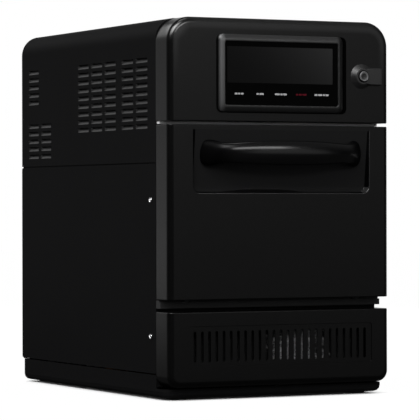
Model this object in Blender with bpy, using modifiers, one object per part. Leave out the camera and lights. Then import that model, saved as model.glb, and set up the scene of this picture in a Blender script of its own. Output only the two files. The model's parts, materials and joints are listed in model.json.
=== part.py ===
"""A countertop speed oven: casing, drop-down door, cavity, hot-air blower, microwave feed and controls.

Every place below is given in the oven's own coordinates, in metres: x to the right seen from the front
and zero at the middle, y towards the back and zero at the front of the mouldings, z up from the worktop.
"""

import math

import bmesh
import bpy
from mathutils import Matrix, Vector

# Overall body
BODY_WIDTH = 0.3954
BODY_HEIGHT = 0.600
BODY_DEPTH = 0.5886
SHEET = 0.0015
SEAT_GAP = 0.0003
JOINT_GAP = 0.0008
OVERRUN = 0.004
WELD = 0.00001

# Heights of the front mouldings and of the side seams
HEAD_LOW = 0.4369
DOOR_HIGH = 0.4316
DOOR_LOW = 0.157
LOWER_PANEL_HIGH = 0.138
LOWER_PANEL_LOW = 0.020
COVER_LOW = 0.3728
SIDE_PANEL_HIGH = 0.3708
SIDE_PANEL_LOW = 0.0408
BASE_HIGH = 0.0388
BASE_LOW = 0.003

# Mouldings
MOULDING_DEPTH = 0.0466
DOOR_DEPTH = 0.0455
MOULDING_WALL = 0.003
FRONT_EDGE_ROUND = 0.0099
LIP_ROUND = 0.0016
HEAD_CORNER = 0.040
LOWER_PANEL_CORNER = 0.018
COVER_CORNER = 0.034
DRIP_LIP_FRONT = 0.036
DRIP_LIP_LOW = 0.4331
SIDE_PANEL_CORNER = 0.004

# Base pan and feet
PLINTH_SETBACK = 0.016
PLINTH_HIGH = 0.0176
BASE_FRONT_CORNER = 0.020
BASE_REAR_CORNER = 0.012
BASE_EDGE_ROUND = 0.010
FOOT_RADIUS = 0.016
FOOT_INSET_X = 0.036
FOOT_INSET_Y = 0.034

# Louvre slits in the cover's sides: lengths, rows and column places from the front of the mouldings
LOUVRE_LENGTH = 0.041
LOUVRE_SLIT = 0.0032
LOUVRE_PITCH = 0.0131
LOUVRE_TOP = 0.535
LOUVRE_LOWER_TOP = 0.442
LOUVRE_COLUMN_STEP = 0.0534
LOUVRE_FRONT_COLUMN = 0.0988
LOUVRE_MIDDLE_COLUMN = 0.2185
LOUVRE_REAR_INSET = 0.053
LOUVRE_FRONT_COLUMNS = 2
LOUVRE_MIDDLE_COLUMNS = 3
LOUVRE_LONG_ROWS = 9
LOUVRE_SHORT_ROWS = 5

# Display
DISPLAY_HEIGHT_Z = 0.5127
BEZEL_BUTTON_ROOM = 0.01695
BEZEL_BAR = 0.01055
BEZEL_TALL = 0.1225
BEZEL_PROUD = 0.008
BEZEL_CORNER = 0.009
BEZEL_EDGE_ROUND = 0.0045
BEZEL_LIP = 0.0018
GLASS_SHOWN_WIDTH = 0.2024
GLASS_SHOWN_TALL = 0.100
GLASS_LAP = 0.002
GLASS_THICK = 0.003
GLASS_CORNER = 0.003
MODULE_INSET = 0.004
MODULE_THICK = 0.012
WINDOW_CLEARANCE = 0.0008
BOARD_PILLAR = 0.0113
BOARD_THICK = 0.0016
BOARD_INSET = 0.006
PILLAR_RADIUS = 0.003

# Power button on its moulded boss
BUTTON_INSET = 0.0507
BUTTON_Z = 0.5118
BOSS_FACE_RADIUS = 0.0132
BOSS_BASE_RADIUS = 0.0198
BOSS_PROUD = 0.007
BOSS_TAB_INSET = 0.0152
BUTTON_RING_RADIUS = 0.0096
BUTTON_RING_PROUD = 0.0019
BUTTON_RING_FACE_SHARE = 0.93
BUTTON_BARREL_RADIUS = 0.0081
BUTTON_BARREL_LENGTH = 0.026
BUTTON_CAP_RADIUS = 0.0060
BUTTON_CAP_SUNK = 0.0006
BUTTON_COLLAR_RADIUS = 0.0067
BUTTON_COLLAR_THICK = 0.002
BUTTON_SHOULDER = 0.0093
BUTTON_STEM_RADIUS = 0.0030
BUTTON_STEM_END = 0.0185
BUTTON_BORE_END = 0.0215
BUTTON_TRAVEL = 0.0018
NUT_RADIUS = 0.0125
NUT_THICK = 0.004
NUT_SIDES = 6
SWITCH_HALF = 0.008
SWITCH_LENGTH = 0.012

# Door handle and its recess
HANDLE_CENTRE_X = 0.003
RECESS_INSET = 0.0387
RECESS_HIGH = 0.424
RECESS_LOW = 0.3232
RECESS_DEPTH = 0.010
RECESS_COVE = 0.016
RECESS_CORNER = 0.014
HANDLE_Z = 0.3876
HANDLE_END_ROOM = 0.0145
HANDLE_REACH = 0.036
HANDLE_HALF_HEIGHT = 0.0206
HANDLE_POWER = 2.5
HANDLE_SIDES = 20
# Each station: distance from the middle as a share of the half span, front and back as shares of the
# reach, half height as a share of the largest.
HANDLE_STATION_SHARES = (
    (0.00, 1.000, 0.417, 0.945),
    (0.21, 0.978, 0.405, 0.930),
    (0.415, 0.906, 0.365, 0.885),
    (0.588, 0.795, 0.285, 0.815),
    (0.692, 0.700, 0.200, 0.765),
    (0.747, 0.633, 0.130, 0.755),
    (0.782, 0.583, 0.040, 0.785),
    (0.810, 0.535, -0.110, 0.850),
    (0.844, 0.465, -0.333, 0.935),
    (0.900, 0.320, -0.333, 1.000),
    (0.955, 0.125, -0.333, 0.900),
    (0.983, -0.010, -0.333, 0.720),
    (1.000, -0.100, -0.333, 0.450),
)

# Door inside, hinge and interlocks
HINGE_Y = 0.012
HINGE_Z = 0.165
HINGE_PIN_RADIUS = 0.004
HINGE_EYE_RADIUS = 0.0068
HINGE_BEAM_SHARE = 0.8
HINGE_ARM_OFFSET = 0.0025
HINGE_ARM_THICK = 0.005
HINGE_ARM_REACH = 0.075
HINGE_ARM_HIGH = 0.1615
HINGE_SLOT_WIDTH = 0.009
HINGE_RIB_THICK = 0.0035
HINGE_RIB_OFFSET = 0.005
HINGE_RIB_DEPTH = 0.021
HINGE_RIB_HIGH = 0.173
HINGE_SLOT_HIGH = 0.1645
LINER_BACK = 0.045
LINER_THICK = 0.002
LINER_CLEARANCE = 0.002
PLUG_DEPTH = 0.007
PLUG_CLEARANCE = 0.002
PLUG_WALL = 0.002
SEAL_LAP = 0.002
SEAL_WIDTH = 0.014
INSULATION_FRONT = 0.014
INSULATION_LOW = 0.180
INSULATION_HIGH = 0.425
INSULATION_INSET = 0.0095
TONGUE_INSET = 0.0162
TONGUE_THICK = 0.003
TONGUE_TALL = 0.014
TONGUE_LOW = 0.395
TONGUE_LENGTH = 0.0247
TONGUE_SLOT_WIDTH = 0.007
TONGUE_SLOT_LOW = 0.392
TONGUE_SLOT_HIGH = 0.417
INTERLOCK_WIDTH = 0.010
INTERLOCK_DEPTH = 0.029
INTERLOCK_LOW = 0.396
INTERLOCK_HIGH = 0.4185

# Groove bar under the door
SILL_FRONT = 0.0315
SILL_LOW = 0.1435
SILL_HIGH = 0.153
SILL_STEP_FRONT = 0.0365
SILL_STEP_HIGH = 0.1562

# Front frame, decks and rear panel
FRAME_FRONT = 0.0469
FLANGE_DEPTH = 0.028
FLANGE_LOW = 0.045
FLANGE_HIGH = 0.560
FRAME_LOW = 0.020
INTAKE_INSET = 0.0477
INTAKE_LOW = 0.055
INTAKE_HIGH = 0.118
CONTROL_OPENING_LEFT_ROOM = 0.0073
CONTROL_OPENING_RIGHT_ROOM = 0.0103
CONTROL_OPENING_LOW = 0.450
CONTROL_OPENING_HIGH = 0.580
DECK_HIGH = 0.1515
UPPER_DECK_LOW = 0.420
REAR_SETBACK = 0.0018
REAR_VENT_LENGTH = 0.070
REAR_VENT_TALL = 0.004
REAR_VENT_PITCH = 0.012
REAR_VENT_ROWS = 9
REAR_VENT_TOP = 0.555
REAR_VENT_COLUMN_X = 0.090
FRAME_SCREW_Y = 0.0655
UPPER_SCREW_Z = 0.3129
LOWER_SCREW_Z = 0.0984
SCREW_HOLE_RADIUS = 0.0023
SCREW_SHANK_RADIUS = 0.0019
SCREW_LENGTH = 0.009
SCREW_HEAD_RADIUS = 0.0045
SCREW_HEAD_TALL = 0.0021
SCREW_CROWN_SHARE = 0.6

# Lower front panel grille
GRILLE_INSET = 0.0327
GRILLE_LOW = 0.053
GRILLE_HIGH = 0.116
GRILLE_SUNK = 0.0012
GRILLE_CORNER = 0.004
GRILLE_SLOTS = 25
GRILLE_END_ROOM = 0.0126
GRILLE_SLOT_WIDTH = 0.0046
GRILLE_SLOT_LOW = 0.060
GRILLE_SLOT_HIGH = 0.1075
FILTER_INSET = 0.0397
FILTER_FRONT = 0.024
FILTER_LOW = 0.052
FILTER_HIGH = 0.119

# Cavity and what it holds
CAVITY_INSET = 0.0477
CAVITY_LOW = 0.196
CAVITY_HIGH = 0.386
CAVITY_REAR_ROOM = 0.1586
CAVITY_FLANGE = 0.010
FEED_OFFSET = 0.02025
FEED_HOLE_RADIUS = 0.018
CERAMIC_LEDGE_HIGH = 0.2027
CERAMIC_THICK = 0.004
CERAMIC_FRONT = 0.054
CERAMIC_REAR_ROOM = 0.0645
LEDGE_WIDTH = 0.008
LEDGE_THICK = 0.003
TRAY_LEDGE_HIGH = 0.2117
TRAY_SIDE_ROOM = 0.0035
TRAY_FRONT = 0.058
TRAY_REAR_ROOM = 0.072
TRAY_TALL = 0.012
TRAY_WALL = 0.002
BAFFLE_REAR_ROOM = 0.064
BAFFLE_INTAKE_HALF = 0.036
BAFFLE_SLOT_TALL = 0.006
BAFFLE_SLOT_PITCH = 0.012
BAFFLE_SLOTS = 6
BAFFLE_SIDE_SLOT_INSET = 0.030
BAFFLE_SIDE_SLOT_HALF = 0.012
JACKET_FRONT = 0.080
JACKET_REAR_THICK = 0.025
JACKET_THICK = 0.0232
ANTENNA_RADIUS = 0.055
ANTENNA_LOW = 0.1985
ANTENNA_THICK = 0.002
ANTENNA_SHAFT_RADIUS = 0.0035
ANTENNA_SHAFT_LOW = 0.143
ANTENNA_WINDOWS = 3
ANTENNA_WINDOW_RADIUS = 0.014
ANTENNA_WINDOW_PLACE = 0.033
SHAFT_CLEARANCE = 0.0005
DECK_SHAFT_HOLE = 0.006
STIRRER_MOTOR_RADIUS = 0.024
STIRRER_MOTOR_TALL = 0.022
STIRRER_BORE_DEPTH = 0.009

# Hot-air blower
BLOWER_Z = 0.291
BLOWER_RADIUS = 0.066
BLOWER_DEPTH = 0.024
BLOWER_REAR_ROOM = 0.018
BLOWER_PLATE = 0.002
BLOWER_BLADES = 12
BLOWER_BLADE_INNER = 0.034
BLOWER_BLADE_THICK = 0.002
BLOWER_HUB_RADIUS = 0.013
BLOWER_SHAFT_RADIUS = 0.005
BLOWER_SHAFT_REACH = 0.038
BLOWER_WALL_HOLE = 0.008
BLOWER_MOTOR_ROOM = 0.0253
BLOWER_MOTOR_LENGTH = 0.065
BLOWER_MOTOR_RADIUS = 0.044
BLOWER_MOTOR_BORE = 0.020
PEDESTAL_HALF_WIDTH = 0.028
PEDESTAL_OFFSET = 0.036
PEDESTAL_DEPTH = 0.042
HEATER_RING_RADIUS = 0.080
HEATER_TUBE_RADIUS = 0.004
HEATER_BEND = 0.010
HEATER_REAR_ROOM = 0.030
HEATER_LEG_REACH = 0.036
HEATER_GAP_ANGLE = 24
HEATER_STEPS = 32

# Microwave supply
GUIDE_LEFT = -0.045
GUIDE_INSET = 0.0477
GUIDE_HALF_DEPTH = 0.040
MAGNETRON_INSET = 0.045
MAGNETRON_HALF = 0.035
MAGNETRON_TALL = 0.088
MAGNETRON_DOME_RADIUS = 0.010
MAGNETRON_DOME_TALL = 0.017
MAGNETRON_HOLE_RADIUS = 0.012
MAGNETRON_FIN_SLOTS = 5
MAGNETRON_FIN_SLOT_TALL = 0.005
MAGNETRON_FIN_PITCH = 0.011
MAGNETRON_FIN_DEPTH = 0.012
TRANSFORMER_INSET = 0.0327
TRANSFORMER_LEAD = 0.165
TRANSFORMER_WIDTH = 0.100
TRANSFORMER_DEPTH = 0.105
TRANSFORMER_TALL = 0.088
TRANSFORMER_CORE_SHARE = 0.5
TRANSFORMER_COIL_SHARE = 0.72
CAPACITOR_INSET = 0.0477
CAPACITOR_REAR_ROOM = 0.1886
CAPACITOR_WIDTH = 0.056
CAPACITOR_DEPTH = 0.036
CAPACITOR_TALL = 0.095
CAPACITOR_ROUND_SHARE = 0.45
TERMINAL_RADIUS = 0.004
TERMINAL_TALL = 0.012
TERMINAL_SPACING = 0.026

# Cooling fan, boards and mains entry
FAN_HALF = 0.050
FAN_FRONT = 0.110
FAN_DEPTH = 0.026
FAN_BORE_RADIUS = 0.047
FAN_TIP_RADIUS = 0.0445
FAN_HUB_RADIUS = 0.018
FAN_HUB_BORE = 0.0030
FAN_STUB_RADIUS = 0.0025
FAN_STUB_LENGTH = 0.005
FAN_BLADES = 7
FAN_BLADE_THICK = 0.002
FAN_BLADE_PITCH = 35
FAN_CHORD_SHARE = 0.85
FAN_ROOT_SHARE = 0.8
FAN_STRUT_WIDTH = 0.006
FAN_STRUT_DEPTH = 0.005
POWER_BOARD_HALF_WIDTH = 0.110
POWER_BOARD_FRONT = 0.160
POWER_BOARD_BACK = 0.330
POWER_BOARD_LIFT = 0.009
RELAY_SIZE = 0.020
RELAY_TALL = 0.016
RELAY_COUNT = 5
RELAY_PITCH = 0.036
BLOCK_INSET = 0.0317
BLOCK_WIDTH = 0.052
BLOCK_REAR_ROOM = 0.0686
BLOCK_DEPTH = 0.030
BLOCK_TALL = 0.032
BLOCK_SLOTS = 5
BLOCK_SLOT_WIDTH = 0.005
GLAND_INSET = 0.0577
GLAND_Z = 0.075
GLAND_REACH = 0.025
GLAND_FLANGE_RADIUS = 0.014
GLAND_DOME_RADIUS = 0.0115
GLAND_BARREL_RADIUS = 0.0097
GLAND_BARREL_LENGTH = 0.012
GLAND_BORE_RADIUS = 0.006
GLAND_FLANGE_THICK = 0.005
GLAND_HOLE_RADIUS = 0.010
GLAND_TAPER_SHARE = 0.75

# Rendering of round shapes
ROUND_SIDES = 24
SMALL_SIDES = 16
ARC_STEPS = 6
EDGE_STEPS = 3
FLAT_ANGLE = math.radians(0.5)
SMOOTH_ANGLE = math.radians(35)

# Sizes that follow from the ones above
HALF_WIDTH = BODY_WIDTH / 2
INNER_HALF = HALF_WIDTH - SHEET
FRAME_HALF = INNER_HALF - SEAT_GAP
FRAME_BACK = FRAME_FRONT + SHEET
DECK_FRONT = FRAME_BACK + SEAT_GAP
FRAME_HIGH = BODY_HEIGHT - SHEET - SEAT_GAP
FRAME_CORNER = COVER_CORNER - SHEET - SEAT_GAP
FLANGE_INNER = FRAME_HALF - SHEET
DECK_HALF = FLANGE_INNER - SEAT_GAP
COVER_FRONT = MOULDING_DEPTH + JOINT_GAP
REAR_PANEL_BACK = BODY_DEPTH - REAR_SETBACK
REAR_PANEL_FRONT = REAR_PANEL_BACK - SHEET
DECK_BACK = REAR_PANEL_FRONT - SEAT_GAP
DECK_LOW = DECK_HIGH - SHEET
UPPER_DECK_HIGH = UPPER_DECK_LOW + SHEET
BASE_FLOOR = BASE_LOW + SHEET
CAVITY_FRONT = FRAME_BACK + SEAT_GAP
CAVITY_HALF_WIDTH = HALF_WIDTH - CAVITY_INSET
CAVITY_BACK = BODY_DEPTH - CAVITY_REAR_ROOM
JACKET_BACK = CAVITY_BACK + JACKET_REAR_THICK
HINGE_ARM_X = CAVITY_HALF_WIDTH + HINGE_ARM_OFFSET
CERAMIC_BACK = CAVITY_BACK - CERAMIC_REAR_ROOM
TRAY_HALF_WIDTH = CAVITY_HALF_WIDTH - TRAY_SIDE_ROOM
TRAY_BACK = CAVITY_BACK - TRAY_REAR_ROOM
BAFFLE_FRONT = CAVITY_BACK - BAFFLE_REAR_ROOM
BAFFLE_SIDE_SLOT_X = CAVITY_HALF_WIDTH - BAFFLE_SIDE_SLOT_INSET
BLOWER_BACK = CAVITY_BACK - BLOWER_REAR_ROOM
BLOWER_FRONT = BLOWER_BACK - BLOWER_DEPTH
BLOWER_SHAFT_END = CAVITY_BACK + BLOWER_SHAFT_REACH
BLOWER_MOTOR_FRONT = CAVITY_BACK + BLOWER_MOTOR_ROOM
PEDESTAL_FRONT = CAVITY_BACK + PEDESTAL_OFFSET
PEDESTAL_BACK = PEDESTAL_FRONT + PEDESTAL_DEPTH
HEATER_Y = CAVITY_BACK - HEATER_REAR_ROOM
HEATER_LEG_END = CAVITY_BACK + HEATER_LEG_REACH
FEED_Y = (CERAMIC_FRONT + CERAMIC_BACK) / 2 + FEED_OFFSET
GUIDE_FRONT = FEED_Y - GUIDE_HALF_DEPTH
GUIDE_BACK = FEED_Y + GUIDE_HALF_DEPTH
GUIDE_RIGHT = HALF_WIDTH - GUIDE_INSET
MAGNETRON_X = GUIDE_RIGHT - MAGNETRON_INSET
CAPACITOR_LEFT = CAPACITOR_INSET - HALF_WIDTH
CAPACITOR_FRONT = BODY_DEPTH - CAPACITOR_REAR_ROOM
TRANSFORMER_LEFT = TRANSFORMER_INSET - HALF_WIDTH
TRANSFORMER_FRONT = CAPACITOR_FRONT - TRANSFORMER_LEAD
BLOCK_LEFT = BLOCK_INSET - HALF_WIDTH
BLOCK_FRONT = BODY_DEPTH - BLOCK_REAR_ROOM
GLAND_X = GLAND_INSET - HALF_WIDTH
GLASS_BACK = -BEZEL_PROUD + BEZEL_LIP + SEAT_GAP + GLASS_THICK
MODULE_FRONT = GLASS_BACK + SEAT_GAP
MODULE_BACK = MODULE_FRONT + MODULE_THICK
GLASS_WIDTH = GLASS_SHOWN_WIDTH + 2 * GLASS_LAP
BEZEL_WIDTH = GLASS_SHOWN_WIDTH + 2 * BEZEL_BAR
BUTTON_X = HALF_WIDTH - BUTTON_INSET
BEZEL_CENTRE_X = BUTTON_X - BOSS_BASE_RADIUS - BEZEL_BUTTON_ROOM - BEZEL_WIDTH / 2
CONTROL_OPENING_LEFT = BEZEL_CENTRE_X - GLASS_SHOWN_WIDTH / 2 - CONTROL_OPENING_LEFT_ROOM
CONTROL_OPENING_RIGHT = BEZEL_CENTRE_X + GLASS_SHOWN_WIDTH / 2 + CONTROL_OPENING_RIGHT_ROOM
BOSS_TAB_END = HALF_WIDTH - BOSS_TAB_INSET
RECESS_HALF_WIDTH = HALF_WIDTH - RECESS_INSET
HANDLE_HALF_SPAN = RECESS_HALF_WIDTH - HANDLE_END_ROOM
GRILLE_HALF_WIDTH = HALF_WIDTH - GRILLE_INSET
GRILLE_SLOT_PITCH = 2 * (GRILLE_HALF_WIDTH - GRILLE_END_ROOM) / (GRILLE_SLOTS - 1)
FILTER_HALF_WIDTH = HALF_WIDTH - FILTER_INSET
INTAKE_HALF_WIDTH = HALF_WIDTH - INTAKE_INSET
TONGUE_X = HALF_WIDTH - TONGUE_INSET
LOUVRE_REAR_COLUMN = BODY_DEPTH - LOUVRE_REAR_INSET
GLASS_TALL = GLASS_SHOWN_TALL + 2 * GLASS_LAP
BOSS_FACE_Y = -BOSS_PROUD
RING_BACK_Y = BOSS_FACE_Y - SEAT_GAP
RING_FRONT_Y = RING_BACK_Y - BUTTON_RING_PROUD
LINER_FRONT = LINER_BACK - LINER_THICK
PLUG_BACK = LINER_BACK + PLUG_DEPTH
ARM_LOW = SILL_HIGH + SEAT_GAP
# The body's middle in y, from the handle's front to the cable gland's end, stands over the origin.
MIDDLE_Y = (BODY_DEPTH + GLAND_REACH - HANDLE_REACH) / 2

FACING_FRONT = (math.radians(90), 0, 0)
FACING_BACK = (math.radians(-90), 0, 0)
FACING_LEFT = (0, math.radians(-90), 0)
FACING_RIGHT = (0, math.radians(90), 0)
SIDE_VIEW = (math.radians(90), 0, math.radians(90))
UPRIGHT = (0, 0, 0)


def clear_scene():
    """Remove whatever the scene holds."""
    for obj in list(bpy.data.objects):
        bpy.data.objects.remove(obj, do_unlink=True)


def new_collection(name):
    """A collection under the scene's own."""
    collection = bpy.data.collections.new(name)
    bpy.context.scene.collection.children.link(collection)
    return collection


clear_scene()
PARTS = new_collection("speed_oven")
CUTTERS = new_collection("speed_oven_cutters")


def new_axis(name, spot, carrier=None):
    """An empty that carries pieces; under the oven's empty it marks a joint's axis."""
    axis = bpy.data.objects.new(name, None)
    axis.empty_display_size = FOOT_RADIUS
    PARTS.objects.link(axis)
    axis.parent = carrier
    axis.location = spot
    return axis


OVEN = new_axis("oven_frame", (0, -MIDDLE_Y, 0))


def finish_of(name, colour, roughness, metallic):
    """A Principled material with one colour, roughness and metallic value."""
    material = bpy.data.materials.new(name)
    material.use_nodes = True
    shader = material.node_tree.nodes["Principled BSDF"]
    shader.inputs["Base Color"].default_value = (*colour, 1)
    shader.inputs["Roughness"].default_value = roughness
    shader.inputs["Metallic"].default_value = metallic
    material.diffuse_color = (*colour, 1)
    return material


FINISHES = {
    "black_coat": finish_of("black_coat", (0.012, 0.012, 0.013), 0.45, 0.0),
    "black_moulding": finish_of("black_moulding", (0.016, 0.016, 0.017), 0.38, 0.0),
    "gloss_black": finish_of("gloss_black", (0.006, 0.006, 0.007), 0.15, 0.0),
    "glass_black": finish_of("glass_black", (0.004, 0.004, 0.005), 0.05, 0.0),
    "rubber": finish_of("rubber", (0.02, 0.02, 0.02), 0.8, 0.0),
    "stainless": finish_of("stainless", (0.62, 0.62, 0.61), 0.3, 1.0),
    "galvanised": finish_of("galvanised", (0.55, 0.57, 0.58), 0.45, 1.0),
    "bright_metal": finish_of("bright_metal", (0.75, 0.75, 0.76), 0.2, 1.0),
    "aluminium": finish_of("aluminium", (0.7, 0.71, 0.72), 0.35, 1.0),
    "insulation": finish_of("insulation", (0.78, 0.76, 0.70), 0.95, 0.0),
    "seal": finish_of("seal", (0.12, 0.12, 0.12), 0.7, 0.0),
    "ceramic": finish_of("ceramic", (0.85, 0.84, 0.80), 0.4, 0.0),
    "circuit_board": finish_of("circuit_board", (0.02, 0.12, 0.05), 0.5, 0.0),
    "dark_plastic": finish_of("dark_plastic", (0.03, 0.03, 0.03), 0.5, 0.0),
    "copper_coil": finish_of("copper_coil", (0.45, 0.20, 0.09), 0.4, 1.0),
    "heater_alloy": finish_of("heater_alloy", (0.30, 0.28, 0.26), 0.5, 1.0),
}


def coat(obj, finish):
    """Give a piece its one material."""
    obj.data.materials.clear()
    obj.data.materials.append(FINISHES[finish])
    return obj


def stand(obj, spot, carrier):
    """Link a piece and stand it at a spot of the oven's coordinates, under the empty that carries it."""
    PARTS.objects.link(obj)
    carrier = carrier or OVEN
    obj.parent = carrier
    base = carrier.location if carrier.parent else Vector()
    obj.location = Vector(spot) - base
    return obj


def mesh_object(name, shape, spot, carrier, turn=UPRIGHT):
    """Make an object of a bmesh, which is freed."""
    mesh = bpy.data.meshes.new(name)
    shape.to_mesh(mesh)
    shape.free()
    obj = bpy.data.objects.new(name, mesh)
    obj.rotation_euler = turn
    return stand(obj, spot, carrier)


def smooth(obj, angle=SMOOTH_ANGLE):
    """Shade round faces smooth and keep the edges sharp."""
    obj.data.shade_smooth()
    obj.data.set_sharp_from_angle(angle=angle)
    return obj


def box(name, low, high, carrier=None):
    """A block between two opposite corners."""
    shape = bmesh.new()
    bmesh.ops.create_cube(shape, size=1.0)
    bmesh.ops.scale(shape, vec=Vector(high) - Vector(low), verts=shape.verts)
    return mesh_object(name, shape, (Vector(low) + Vector(high)) / 2, carrier)


def boxes(name, corners, carrier=None):
    """Several blocks in one mesh, for one cut."""
    shape = bmesh.new()
    for low, high in corners:
        size = Vector(high) - Vector(low)
        middle = (Vector(low) + Vector(high)) / 2
        scale = Matrix.Diagonal((*size, 1))
        bmesh.ops.create_cube(shape, size=1.0, matrix=Matrix.Translation(middle) @ scale)
    return mesh_object(name, shape, (0, 0, 0), carrier)


def drum(name, radius, start, end, carrier=None, far_radius=None, sides=ROUND_SIDES):
    """A cylinder, or a cone, from one point to another."""
    start, end = Vector(start), Vector(end)
    shape = bmesh.new()
    bmesh.ops.create_cone(
        shape,
        cap_ends=True,
        segments=sides,
        radius1=radius,
        radius2=radius if far_radius is None else far_radius,
        depth=(end - start).length,
    )
    turn = (end - start).to_track_quat("Z", "Y").to_euler()
    return smooth(mesh_object(name, shape, (start + end) / 2, carrier, turn))


def turned(name, profile, spot, turn, carrier=None, closed=False, sides=ROUND_SIDES):
    """A profile of (radius, height) points turned about its own height axis with a Screw modifier."""
    mesh = bpy.data.meshes.new(name)
    points = [(radius, 0, height) for radius, height in profile]
    edges = [(i, i + 1) for i in range(len(points) - 1)]
    if closed:
        edges.append((len(points) - 1, 0))
    mesh.from_pydata(points, edges, [])
    obj = bpy.data.objects.new(name, mesh)
    obj.rotation_euler = turn
    screw = obj.modifiers.new("turn", "SCREW")
    screw.steps = sides
    screw.render_steps = sides
    screw.use_merge_vertices = True
    screw.merge_threshold = WELD
    return stand(obj, spot, carrier)


def arc(centre, radius, start, end, steps=ARC_STEPS):
    """Points on an arc, with its angles in degrees."""
    points = []
    for i in range(steps + 1):
        angle = math.radians(start + (end - start) * i / steps)
        points.append((centre[0] + radius * math.cos(angle), centre[1] + radius * math.sin(angle)))
    return points


def corner(at, radius, start, inward):
    """One rounded corner of an outline, or its plain point."""
    if not radius:
        return [at]
    centre = (at[0] + inward[0] * radius, at[1] + inward[1] * radius)
    return arc(centre, radius, start, start + 90)


def rounded_outline(left, right, low, high, low_radius=0, high_radius=0):
    """A rectangle with rounded lower and upper corners, anticlockwise."""
    points = corner((left, low), low_radius, 180, (1, 1))
    points += corner((right, low), low_radius, 270, (-1, 1))
    points += corner((right, high), high_radius, 0, (-1, -1))
    points += corner((left, high), high_radius, 90, (1, -1))
    return points


def circle_outline(centre, radius, sides=SMALL_SIDES):
    """A round hole or rim as an outline."""
    return arc(centre, radius, 0, 360, sides)[:-1]


def slot_outline(middle, low, high, width):
    """An upright slot with round ends."""
    radius = width / 2
    points = arc((middle, low + radius), radius, 180, 360, EDGE_STEPS + 1)
    points += arc((middle, high - radius), radius, 0, 180, EDGE_STEPS + 1)
    return points


def outline_object(name, outlines, thickness, spot, turn, carrier, filled=True):
    """Flat outlines drawn as a 2D curve, extruded both ways from their plane and made a mesh."""
    curve = bpy.data.curves.new(name, "CURVE")
    curve.dimensions = "2D"
    curve.fill_mode = "BOTH" if filled else "NONE"
    curve.extrude = thickness / 2
    for points in outlines:
        spline = curve.splines.new("POLY")
        spline.points.add(len(points) - 1)
        for point, (across, along) in zip(spline.points, points):
            point.co = (across, along, 0, 1)
        spline.use_cyclic_u = filled
    guide = bpy.data.objects.new(name + "_outline", curve)
    guide.rotation_euler = turn
    CUTTERS.objects.link(guide)
    bpy.context.view_layer.update()
    graph = bpy.context.evaluated_depsgraph_get()
    drawn = bpy.data.meshes.new_from_object(guide.evaluated_get(graph))
    shape = bmesh.new()
    shape.from_mesh(drawn)
    bmesh.ops.remove_doubles(shape, verts=shape.verts, dist=WELD)
    if filled:
        bmesh.ops.dissolve_limit(shape, angle_limit=FLAT_ANGLE, verts=shape.verts, edges=shape.edges)
        bmesh.ops.recalc_face_normals(shape, faces=shape.faces)
    obj = mesh_object(name, shape, spot, carrier, guide.matrix_world.to_euler())
    bpy.data.objects.remove(guide, do_unlink=True)
    bpy.data.meshes.remove(drawn)
    return obj


def front_plate(name, outlines, front, back, carrier=None):
    """Outlines seen from the front, (x, z), between two depths."""
    middle = (0, (front + back) / 2, 0)
    return outline_object(name, outlines, back - front, middle, FACING_FRONT, carrier)


def side_plate(name, outlines, left, right, carrier=None):
    """Outlines seen from the side, (y, z), between two places across the width."""
    middle = ((left + right) / 2, 0, 0)
    return outline_object(name, outlines, right - left, middle, SIDE_VIEW, carrier)


def plan_plate(name, outlines, low, high, carrier=None):
    """Outlines seen from above, (x, y), between two heights."""
    middle = (0, 0, (low + high) / 2)
    return outline_object(name, outlines, high - low, middle, UPRIGHT, carrier)


def as_tool(obj):
    """Turn a piece into a hidden cutter or joining body."""
    PARTS.objects.unlink(obj)
    CUTTERS.objects.link(obj)
    obj.hide_render = True
    obj.display_type = "WIRE"
    return obj


def combine(obj, operation, tools):
    """Add one Boolean modifier for each tool."""
    for tool in tools:
        step = obj.modifiers.new(operation.lower() + "_" + tool.name, "BOOLEAN")
        step.operation = operation
        step.solver = "EXACT"
        step.object = as_tool(tool)
    return obj


def cut(obj, *tools):
    """Take tools away from a piece."""
    return combine(obj, "DIFFERENCE", tools)


def join(obj, *tools):
    """Join tools to a piece as one body."""
    return combine(obj, "UNION", tools)


def weigh_edges(obj, weight_of):
    """Set bevel weights from a rule on an edge's two ends, in the oven's coordinates."""
    turn = obj.rotation_euler.to_matrix()
    base = obj.parent.location if obj.parent.parent else Vector()
    places = [turn @ vertex.co + obj.location + base for vertex in obj.data.vertices]
    weights = obj.data.attributes.new("bevel_weight_edge", "FLOAT", "EDGE")
    for edge in obj.data.edges:
        first, second = edge.vertices
        weights.data[edge.index].value = weight_of(places[first], places[second])


def round_edges(obj, width, steps=EDGE_STEPS):
    """Round the weighted edges."""
    bevel = obj.modifiers.new("round_edges", "BEVEL")
    bevel.limit_method = "WEIGHT"
    bevel.width = width
    bevel.segments = steps
    bevel.use_clamp_overlap = False
    return obj


def at_depth(point, depth):
    """Whether a point lies at a depth."""
    return abs(point.y - depth) < WELD


def at_height(point, height):
    """Whether a point lies at a height."""
    return abs(point.z - height) < WELD


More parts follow.
